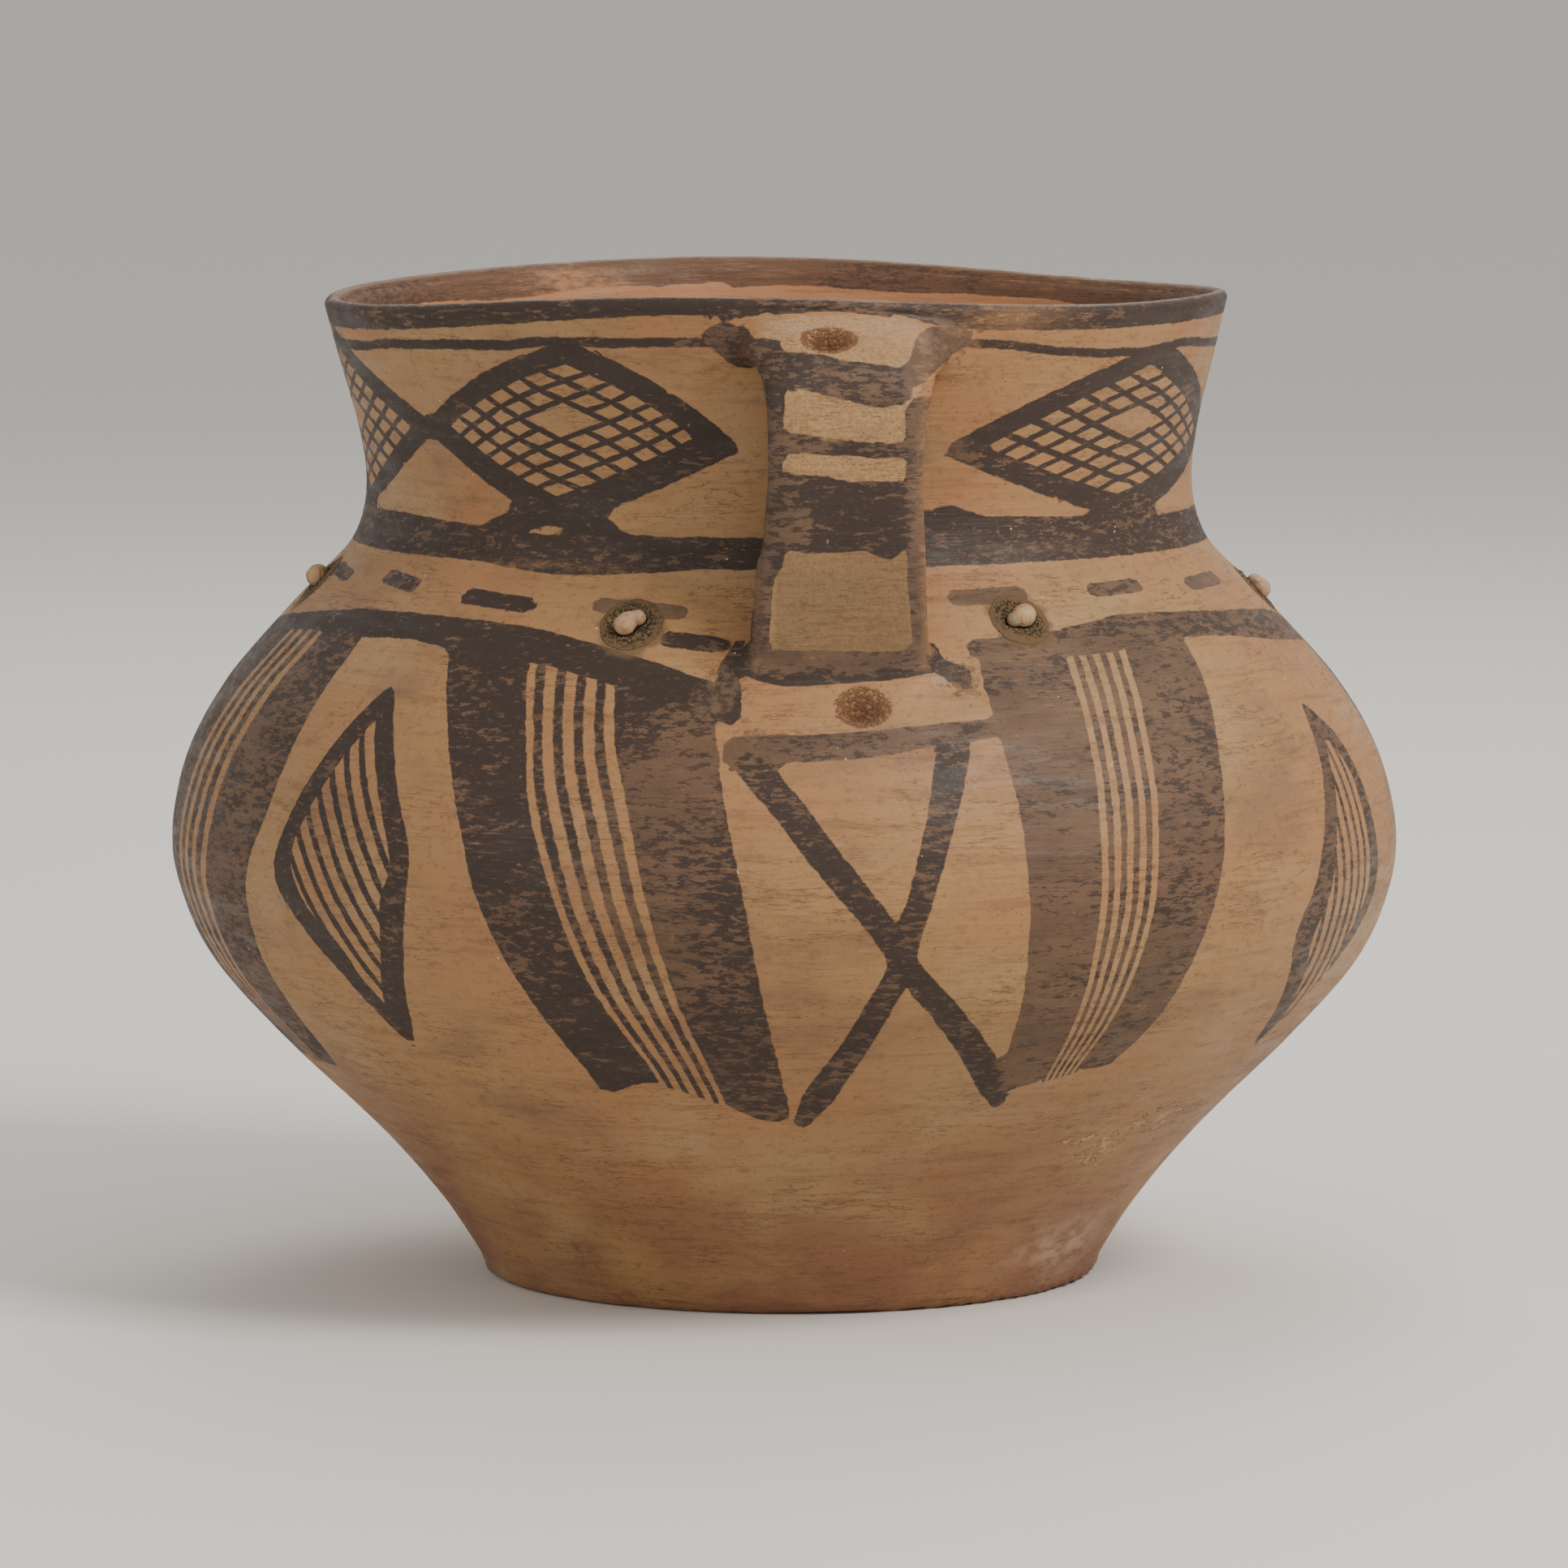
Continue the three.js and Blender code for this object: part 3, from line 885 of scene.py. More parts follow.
def paint_shoulder(wall):
    """A row of dashes, a band broken by the handle, and the bar at the handle's foot."""
    for turn in (0, 180):
        wall.facing(turn)
        for start, end, up, half, load in DASHES:
            drop = 0.5 if start > 0 else -0.4
            ends = (start + 1.5, up - drop / 2, half), (end - 1.5, up + drop / 2 - 0.3, half)
            wall.stroke(*ends, load=load)
        wall.band(
            [
                (-98, 101), (-89.5, 102.7), (-72, 105.2), (-62.7, 106.1), (-48, 106.1), (-36.4, 105.3),
                (-26, 102.9), (-19.3, 100.7), (-12, 97.7),
            ],
            [
                (-98, 98), (-78.7, 101.7), (-61.5, 102.3), (-53, 102.7), (-46, 101.8), (-35, 100.8),
                (-30, 99.6), (-23, 97.4), (-12, 93),
            ],
            wall.within(-98, -11), load=0.9,
        )
        bar = [(-12.5, 100.2), (-11.3, 100), (-7.1, 98.3), (-1.8, 98.5), (5.1, 99.1), (9.1, 100.1)]
        bar.append((10.8, 97.9))
        left = wall.beside([(-12.8, 90), (-12.4, 120)], 1)
        right = wall.beside([(10.5, 90), (10.5, 120)], -1)
        wall.band([(-14, 101.5), (-9, 104), (9, 104), (14, 100.5)], bar, left, right, load=0.85)
        wall.stroke((9.5, 101, 1.5), (12.2, 99.3, 1.7), (12.8, 97.8, 0.8), load=0.7)
        wall.stroke((-11.5, 104, 0.8), (-12.6, 100.5, 1.6), (-12.2, 97.5, 1.2), load=0.7)
        wall.band(
            [(14, 104), (24, 104.6), (31, 105.6), (37.7, 106.3), (53, 105.6), (72, 103.9), (83, 101.2)],
            [(14, 101.5), (24.6, 103.2), (33.7, 103.5), (45, 102.5), (53.6, 101.9), (64, 100.3), (83, 98)],
            wall.within(14, 83), load=0.45,
        )


def paint_belly(wall):
    """Three panels of broad bands and thin stripes, two half leaves, and crossed strokes."""
    for turn in (0, 180):
        wall.facing(turn)
        left_panel(wall)
        right_panel(wall)
        side_panel(wall)
        left_leaf(wall)
        right_leaf(wall)
        crossed_strokes(wall)


def left_panel(wall):
    wall.arc_panel(
        [
            [
                (-46.3, 101.8), (-41.4, 90.9), (-37.9, 79.7), (-35.4, 68.2), (-32.5, 56.4),
                (-28.9, 43.7), (-27.1, 36),
            ],
            [
                (-35.1, 100.5), (-32.4, 90.4), (-30.5, 80.3), (-27.7, 67.7), (-25.1, 55.1),
                (-21.4, 42.9), (-20, 37),
            ],
            [
                (-24.5, 98.3), (-23.1, 89.7), (-21.1, 80.8), (-19.4, 69.3), (-17.5, 56.1),
                (-16.2, 48.5), (-13.8, 36.5),
            ],
            [(-13.8, 99), (-13.5, 92.2), (-12.1, 81), (-10.3, 66), (-9.2, 54), (-7.9, 43.3), (-6.6, 33)],
        ],
        [(-30, 38.5), (-27, 37.2), (-22.5, 39.3), (-18.5, 38.5), (-14, 36), (-10, 33.4), (-6, 33.2)],
        [(-50, 103), (-30, 101), (-12, 98.5)],
        (4.3, 0.6, 0.23), load=(0.8, 0.62),
    )


def right_panel(wall):
    wall.arc_panel(
        [
            [(14.9, 102.8), (14.4, 92), (14.9, 80.4), (15.1, 67.6), (15.4, 55), (15.7, 43.6), (16.6, 37.4)],
            [(25.1, 100.9), (23.6, 90), (22.5, 78.7), (21.8, 65.8), (21.6, 51), (21.6, 40)],
            [(34.5, 101.4), (31.7, 91.6), (29.5, 78), (28.3, 66.3), (26.8, 51.6), (25.3, 39.9)],
            [
                (44.2, 103.5), (43.5, 98.6), (39.1, 86.3), (36.2, 71.4), (34.1, 59.5), (32, 47.8),
                (29.5, 41), (26.2, 39),
            ],
        ],
        [(14, 36.5), (18, 37.5), (24, 39.5), (27, 40), (34, 40.5)],
        [(12, 103.5), (24, 103.6), (44, 103)],
        (5, 0, 0.25), load=(0.24, 0.34), below=[(20, 101.4), (30, 101.3), (36, 101.8)],
    )


def side_panel(wall):
    wall.arc_panel(
        [
            [(-100, 101), (-101, 88), (-100, 72), (-98, 55), (-92, 42), (-86, 37)],
            [(-81, 102), (-83.5, 88.4), (-84.5, 74.4), (-85, 61), (-82, 48), (-79, 38)],
            [(-69.8, 102), (-71.3, 88.8), (-72.7, 75.4), (-74.2, 61.5), (-74.5, 48), (-74, 38)],
            [
                (-61.5, 102.3), (-61.6, 90), (-62.3, 78), (-65.2, 66.7), (-66.3, 55), (-66.5, 47.8),
                (-68.2, 39.6), (-69.3, 36),
            ],
        ],
        [(-102, 36.5), (-69, 36.2)],
        [(-100, 101), (-61, 103)],
        (4, 0, 0.27), load=(0.6, 0.55),
    )


def left_leaf(wall):
    wall.leaf(
        [
            (-51.7, 96.1), (-54.6, 90), (-57.9, 79.3), (-60.2, 68.5), (-56.3, 59.6), (-52.7, 53.2),
            (-48.9, 42.7),
        ],
        [
            (-51, 96.4), (-49.5, 93.6), (-46.8, 87), (-43.4, 76.9), (-42.5, 71.7), (-43.3, 62.5),
            (-46.2, 48.4), (-48.7, 42.5),
        ],
        [
            (-51.2, 91.7), (-53.9, 84.2), (-56.7, 75.6), (-57.7, 70), (-55.2, 63.2), (-51.7, 57.6),
            (-49.5, 48.6),
        ],
        [(-51, 91.9), (-47.9, 83.4), (-44.7, 72.1), (-45.8, 65.9), (-46.8, 58), (-49.3, 48.4)],
        0.39, -17.1, -2.14, 0.8,
    )


def right_leaf(wall):
    wall.leaf(
        [(58, 91.5), (55.6, 84), (52.6, 75.1), (49.6, 65), (48.1, 58), (51.2, 48), (54.8, 39)],
        [
            (58.3, 91.7), (62.3, 86.3), (64.2, 76.3), (65, 66), (64.6, 60), (60.5, 52.5), (56.5, 44.4),
            (55, 38.8),
        ],
        [(58.6, 87), (56.3, 79), (54.5, 72), (52.5, 62), (51.6, 56.5), (54, 49), (56, 44)],
        [(58.8, 87.4), (61.5, 81), (62.5, 72), (62.3, 62), (59.5, 54.5), (56.4, 43.6)],
        0.05, 55.5, 1.75, 0.45,
    )


def crossed_strokes(wall):
    """A bar under the handle, and two long strokes that cross below it."""
    sides = wall.within(-12.6, 15.5)
    top = [(-12.5, 91.3), (0, 91.9), (8, 92.8), (16, 93.3)]
    wall.band(top, [(-12.5, 87.4), (0, 88.3), (7.5, 89.8), (16, 91)], sides, load=0.3)
    wall.stroke(
        (-10.5, 88.5, 2.4), (-6.5, 81.4, 2.3), (-3, 73.8, 2.2), (1.6, 64.2, 2), (4.6, 56.8, 1.9),
        (10.8, 46.4, 2.2), (15.6, 38.6, 2.4), (17.2, 35.4, 1.2), load=0.72,
    )
    wall.stroke(
        (9.5, 89.5, 2.6), (7.6, 80.8, 2.2), (5.5, 71, 1.9), (4, 62.5, 1.8), (3, 56.5, 1.9),
        (-0.4, 45.3, 2.1), (-3.6, 37.3, 2.4), (-5.4, 32.8, 1.2), load=0.66,
    )


def paint_strap(strap_canvas):
    """Crossing bars between two upright strips, with bare panels of cream clay."""
    c = strap_canvas
    left = c.beside([(-9.8, 90), (-9.6, 160)], 1)
    right = c.beside([(9.3, 90), (9.2, 160)], -1)
    first_left = c.beside([(-9.4, 90), (-10, 160)], 1)
    first = [(-12, 147), (-4, 146.4), (0.6, 145.5), (9, 144.4)]
    first_end = [(-12, 142), (-5.6, 141.3), (0.2, 139.9), (3.7, 139), (9, 138.8)]
    c.band(first, first_end, first_left, right, load=0.6)
    c.band([(-9, 135.2), (7.7, 133.4)], [(-9, 132.4), (7.7, 131.1)], left, right, load=0.6)
    block = [(-9, 129.3), (-1.2, 128.5), (0.2, 127), (1.2, 128), (8, 127.9)]
    block_end = [(-9, 118.2), (-5, 117.6), (0, 117.7), (3, 117.9), (5.8, 116.4), (8, 117.9)]
    c.band(block, block_end, left, right, load=0.84)
    foot = [(-16, 97.5), (14, 97.5)]
    c.band([(-16, 103.6), (0, 103.3), (14, 102.8)], foot, load=0.25)
    c.band([(-16, 102.2), (0, 101.5), (14, 102.2)], foot, load=0.85)
    left_strip = [(-8.8, 155), (-8.6, 141.9), (-9.2, 132), (-9, 118), (-10.8, 113), (-11.6, 104), (-12, 96)]
    c.lay(c.beside(left_strip, -1), c.above([(-20, 148.5), (20, 148.5)], -1), load=0.62)
    right_strip = [(9.4, 148), (8.9, 139), (8.8, 127), (8.8, 116), (9.4, 106), (9.8, 96)]
    c.lay(c.beside(right_strip, 1), c.above([(-20, 140), (20, 140)], -1), load=0.4)
    c.fade((-7.6, 123), (1.6, 7), 0.6)
    c.fade((5.5, 142.5), (3.2, 1.8), 0.3)
    c.fade((12.5, 120), (1.6, 40), 0.7, "bare")
    c.fade((-13.2, 120), (0.9, 40), 0.5, "bare")
    for side in (-11.4, 11.2):
        c.fade((side, 122), (1.5, 22), 0.35)
    c.stroke((10.5, 143, 1.6), (13.5, 146.8, 2.6), (18, 148.6, 2.6), load=0.15)
    c.stroke((-12.5, 142.5, 2.2), (-14.8, 148, 2.6), (-17, 150, 2.2), load=0.62)
    c.fade((15.5, 147), (3, 3), 0.5, "film")
    c.marks["cream"] = smooth(12 - np.abs(c.across), 0, 2) * 0.9
    for line in (
        [(-4.2, 124.6, 0.1), (-3.2, 120.6, 0.22), (-1.6, 116.2, 0.12)],
        [(1.6, 118.6, 0.15), (2.4, 113.2, 0.05)],
        [(-3.8, 137.3, 0.05), (-3.2, 134.5, 0.12)],
    ):
        c.marks["gouge"] = np.maximum(c.marks["gouge"], c.brush(*line))


def lip_paint(wall, inside):
    """Inside, the paint is a band below the lip."""
    marks = wall.marks
    level = 0 * wall.azimuth
    ragged = grain_noise(np.stack([wall.azimuth, level, level], 1), 14, 6)
    marks["stroke"][inside] = (wall.up - lip_height(wall.azimuth) + 4.6 + 1.2 * ragged)[inside]
    marks["zone"][inside] = -REACH
    marks["load"][inside] = 0.45


def wear_wall(wall):
    """Where handling and burial wore the paint, as (azimuth, height), half sizes and amount."""
    spots = {
        "wear": [
            ((-60, 150), (26, 3), 0.35), ((-17, 84), (6, 9), 0.45), ((-19, 70), (6, 16), 0.35),
            ((-40, 74), (4, 14), 0.3), ((-36, 57), (5, 10), 0.3), ((17, 131), (4, 3), 0.3),
            ((32, 150), (14, 3), 0.5), ((-70, 70), (6, 30), 0.2), ((2, 152), (13, 2.2), 0.6),
        ],
        "bare": [
            ((22, 150.5), (9, 3), 0.8), ((-43, 114), (10, 0.7), 0.7), ((-30, 113.6), (12, 0.5), 0.5),
            ((28, 116.2), (16, 0.7), 0.6), ((17, 131.5), (2.2, 2.2), 0.5),
        ],
        "film": [
            ((-13.5, 97), (3.5, 4.5), 0.75), ((-10, 91), (3, 2.5), 0.55), ((12.5, 98.5), (3, 3.5), 0.65),
            ((16, 147), (2.5, 3), 0.5),
        ],
        "scuff": [
            ((-35, 78), (5, 6), 1.0), ((-38, 114), (10, 1.5), 0.9), ((24, 96), (7, 6), 0.8),
            ((-60, 151), (50, 1.5), 0.9), ((2, 152), (14, 2), 0.9), ((30, 150), (16, 2.5), 0.9),
        ],
    }
    front_only = {
        "chalk": [((46, 8), (13, 5), 0.75), ((-20, 30), (14, 3), 0.25)],
        "crust": [((33, 27.6), (5, 1.3), 0.95), ((39, 25), (4, 3), 0.9), ((47, 29), (6, 3.5), 0.85)],
    }
    for kind, places_of in spots.items():
        for turn in (0, 180):
            wall.facing(turn)
            for centre, size, amount in places_of:
                wall.fade(centre, size, amount, kind)
    wall.facing(0)
    for kind, places_of in front_only.items():
        for centre, size, amount in places_of:
            wall.fade(centre, size, amount, kind)


def smear_mastic(wall, points):
    """Mastic smeared on the wall round each stud."""
    for number in range(1, STUDS + 1):
        spot = np.array(stud_place(number)[0]) - (0, 0, 1.2)
        distance = np.linalg.norm(points - spot, axis=1)
        ragged = grain_noise(points, 4, 11 + number) * 1.6 + grain_noise(points, 1.6, 12) * 0.8
        smeared = smooth(6.4 + ragged - distance, 0, 2.2)
        wall.marks["smear"] = np.maximum(wall.marks["smear"], smeared)


def painted(mesh, carved):
    """Reads the paint off the canvases and stores it on the mesh."""
    points = places(mesh)
    true = unsettled(points)
    skin = Wall()
    found, gap = skin.find(true)
    inside = (found >= skin.outer_count) & (gap < INSIDE_REACH)
    azimuth = np.degrees(np.arctan2(true[:, 0], -true[:, 1]))
    radius = np.hypot(true[:, 0], true[:, 1])
    upright = np.maximum(np.abs(skin.normal[found][:, 0]), 0.3)

    index = np.flatnonzero(inside | (gap < WALL_PAINTED))
    around = np.radians(radius[index])
    wall = Canvas(index, azimuth[index], points[index, 2], around, 1 / upright[index])
    paint_neck(wall)
    paint_shoulder(wall)
    paint_belly(wall)
    wear_wall(wall)
    smear_mastic(wall, points[index])
    lip_paint(wall, inside[index])
    canvases = [wall]
    for turn, _ in HANDLES:
        local = turned(true, -turn)
        index = np.flatnonzero(~inside & (gap > STRAP_PAINTED) & (local[:, 1] < 0))
        canvas = Canvas(index, local[index, 0], points[index, 2], 1.0, 1.0)
        paint_strap(canvas)
        canvases.append(canvas)

    store = {name: np.full(len(points), float(value)) for name, value in BLANK.items()}
    for canvas in canvases:
        for name, values in canvas.marks.items():
            store[name][canvas.index] = values
    # How far down a socket each vertex lies, which bares raw clay there and also paints shade into the
    # socket's hollow
    store["raw_clay_and_painted_shade"] = carved
    store["inside"] = np.where(inside | (gap < INSIDE_REACH), np.clip(skin.past_lip[found], -3, 3), -3)
    for name, values in store.items():
        keep(mesh, name, values)


def tone(red, green, blue):
    """A colour from the usual 0 to 255 values."""
    linear = [((v / 255 + 0.055) / 1.055) ** 2.4 for v in (red, green, blue)]
    return (*linear, 1.0)


class Finish:
    """A material and short ways to add nodes to it."""

    def __init__(self, name, colour, roughness):
        self.material = bpy.data.materials.new(name)
        self.material.use_nodes = True
        self.tree = self.material.node_tree
        self.shader = self.tree.nodes["Principled BSDF"]
        self.shader.inputs["Base Color"].default_value = colour
        self.shader.inputs["Roughness"].default_value = roughness
        self.shader.inputs["Specular IOR Level"].default_value = 0.3
        self.place = self.tree.nodes.new("ShaderNodeTexCoord").outputs["Object"]

    def put(self, value, socket):
        if isinstance(value, bpy.types.NodeSocket):
            self.tree.links.new(value, socket)
        else:
            socket.default_value = value

    def read(self, name):
        node = self.tree.nodes.new("ShaderNodeAttribute")
        node.attribute_name = name
        return node.outputs["Fac"]

    def math(self, kind, a, b=0.0, clamp=False):
        node = self.tree.nodes.new("ShaderNodeMath")
        node.operation = kind
        node.use_clamp = clamp
        self.put(a, node.inputs[0])
        self.put(b, node.inputs[1])
        return node.outputs[0]

    def times(self, a, b):
        return self.math("MULTIPLY", a, b)

    def plus(self, a, b, clamp=False):
        return self.math("ADD", a, b, clamp)

    def minus(self, a, b):
        return self.math("SUBTRACT", a, b)

    def most(self, a, b):
        return self.math("MAXIMUM", a, b)

    def spread(self, value, low, high, to_low=0.0, to_high=1.0):
        node = self.tree.nodes.new("ShaderNodeMapRange")
        node.interpolation_type = "SMOOTHSTEP"
        self.put(value, node.inputs["Value"])
        ends = {"From Min": low, "From Max": high, "To Min": to_low, "To Max": to_high}
        for name, number in ends.items():
            self.put(number, node.inputs[name])
        return node.outputs["Result"]

    def pattern(self, kind, size, stretch, shift):
        """A texture node in coordinates where size millimetres, stretched, are one."""
        mapping = self.tree.nodes.new("ShaderNodeMapping")
        mapping.inputs["Scale"].default_value = [1 / (size * MM * s) for s in stretch]
        mapping.inputs["Location"].default_value = shift
        self.tree.links.new(self.place, mapping.inputs["Vector"])
        node = self.tree.nodes.new(kind)
        node.inputs["Scale"].default_value = 1.0
        self.tree.links.new(mapping.outputs["Vector"], node.inputs["Vector"])
        return node

    def noise(self, size, detail=3.0, stretch=(1, 1, 1), rough=0.5):
        """Noise from 0 to 1 whose lumps are about size millimetres, longer where stretched."""
        shift = (size * 1.7, size * 0.3, size * 2.1)
        node = self.pattern("ShaderNodeTexNoise", size, stretch, shift)
        node.inputs["Detail"].default_value = detail
        node.inputs["Roughness"].default_value = rough
        return node.outputs["Fac"]

    def cells(self, size):
        """Distance from the nearest of many scattered points, about size millimetres apart."""
        node = self.pattern("ShaderNodeTexVoronoi", size, (1, 1, 1), (0, 0, 0))
        return node.outputs["Distance"]

    def blend(self, low, high, share):
        node = self.tree.nodes.new("ShaderNodeMix")
        node.data_type = "RGBA"
        self.put(share, node.inputs["Factor"])
        self.put(low, node.inputs["A"])
        self.put(high, node.inputs["B"])
        return node.outputs["Result"]

    def height(self):
        node = self.tree.nodes.new("ShaderNodeSeparateXYZ")
        self.tree.links.new(self.place, node.inputs[0])
        return node.outputs["Z"]

    def bump(self, height, distance, strength, under=None):
        node = self.tree.nodes.new("ShaderNodeBump")
        node.inputs["Distance"].default_value = distance * MM
        node.inputs["Strength"].default_value = strength
        self.put(height, node.inputs["Height"])
        if under:
            self.tree.links.new(under, node.inputs["Normal"])
        return node.outputs["Normal"]

    def done(self, colour=None, roughness=None, normal=None):
        for name, value in (("Base Color", colour), ("Roughness", roughness), ("Normal", normal)):
            if value is not None:
                self.tree.links.new(value, self.shader.inputs[name])
        return self.material


BUFF = tone(156, 118, 78)
CREAM = tone(160, 127, 88)
ORANGE = tone(158, 108, 70)
RED_CLAY = tone(130, 88, 64)
CLOUD = tone(126, 94, 70)
STREAK = tone(96, 67, 45)
HANDLE_CREAM = (tone(122, 96, 64), tone(162, 126, 86))
STAIN = tone(96, 73, 56)
DEEP_STAIN = tone(78, 59, 47)
DARK_PAINT = tone(50, 39, 34)
FILM = tone(104, 84, 64)
PALE = tone(206, 184, 150)


def clay_colour(f):
    """Buff clay with cream and orange clouds, level burnishing streaks and dark specks."""
    warm = f.spread(f.height(), 0.07, 0.13, 0.35, 0.85)
    colour = f.blend(BUFF, ORANGE, f.times(f.spread(f.noise(36, 3.0), 0.42, 0.66), warm))
    colour = f.blend(colour, CREAM, f.spread(f.noise(24, 2.0, (1, 1, 0.6)), 0.48, 0.68, 0.0, 0.8))
    colour = f.blend(colour, CLOUD, f.spread(f.noise(15, 4.0, (2, 2, 1), 0.6), 0.5, 0.72, 0.0, 0.7))
    low = f.times(f.spread(f.height(), 0.0, 0.045, 0.85, 0.0), f.spread(f.noise(26, 2.0), 0.38, 0.6))
    colour = f.blend(colour, RED_CLAY, low)
    cream = f.blend(*HANDLE_CREAM, f.spread(f.height(), 0.112, 0.13))
    colour = f.blend(colour, cream, f.read("cream"))
    grime = f.spread(f.noise(0.55, 5.0, (1, 1, 1), 0.7), 0.44, 0.62)
    colour = f.blend(colour, tone(98, 74, 50), f.times(grime, f.times(f.read("cream"), 0.5)))
    broad = f.noise(1.5, 5.0, (12, 12, 1), 0.62)
    colour = f.blend(colour, STREAK, f.spread(broad, 0.5, 0.76, 0.0, 0.4))
    fold = f.math("ABSOLUTE", f.minus(f.noise(1.5, 4.0, (9, 9, 1), 0.65), 0.5))
    sparse = f.spread(f.noise(9, 3.0, (2, 2, 1)), 0.4, 0.62)
    fine = f.times(f.spread(fold, 0.0, 0.022, 1.0, 0.0), sparse)
    colour = f.blend(colour, STREAK, f.times(fine, 0.75))
    mottle = f.noise(1.1, 5.0, (1.6, 1.6, 1), 0.7)
    colour = f.blend(colour, STREAK, f.spread(mottle, 0.5, 0.74, 0.0, 0.5))
    specks = f.spread(f.cells(1.1), 0.08, 0.18, 1.0, 0.0)
    speckled = f.spread(f.noise(12, 3.0), 0.38, 0.65, 0.15, 0.8)
    return f.blend(colour, STREAK, f.times(specks, speckled)), broad, fine


def paint_cover(f):
    """Where the brush went: broad strokes and ruled lines, with slightly unsteady edges."""
    edge = f.minus(f.noise(1.3, 5.0, (2, 2, 1.4), 0.65), 0.5)
    stroke = f.plus(f.read("stroke"), f.times(edge, 0.9))
    cover = f.spread(stroke, -0.13, 0.13)
    half = f.read("half")
    ruled = []
    sway = f.times(f.times(f.minus(f.noise(14.0, 2.0), 0.5), half), 1.3)
    for name in ("line_a", "line_b"):
        gap = f.math("PINGPONG", f.plus(f.read(name), sway), 0.5)
        gap = f.plus(gap, f.times(edge, f.times(half, 1.3)))
        share = f.math("DIVIDE", gap, f.most(half, 0.001))
        ruled.append(f.spread(share, 0.75, 1.2, 1.0, 0.0))
    lines = f.times(f.most(*ruled), f.spread(f.read("zone"), -0.6, -0.3))
    return f.most(cover, lines)


def paint_left(f, inside):
    """The share of dark paint that is left, in flakes drawn out by the brush, and the flakes."""
    flakes = f.spread(f.noise(0.8, 7.0, (3.2, 3.2, 1), 0.74), 0.3, 0.7)
    patches = f.minus(f.noise(7.0, 3.0, (2.4, 2.4, 1), 0.55), 0.5)
    left = f.plus(f.read("load"), f.times(patches, 0.9))
    lip = f.spread(f.math("ABSOLUTE", f.minus(inside, 0.1)), 0.5, 1.3, 0.55, 0.0)
    left = f.minus(left, f.plus(f.read("wear"), lip))
    return f.spread(f.minus(f.plus(flakes, left), 1.0), -0.1, 0.1), flakes


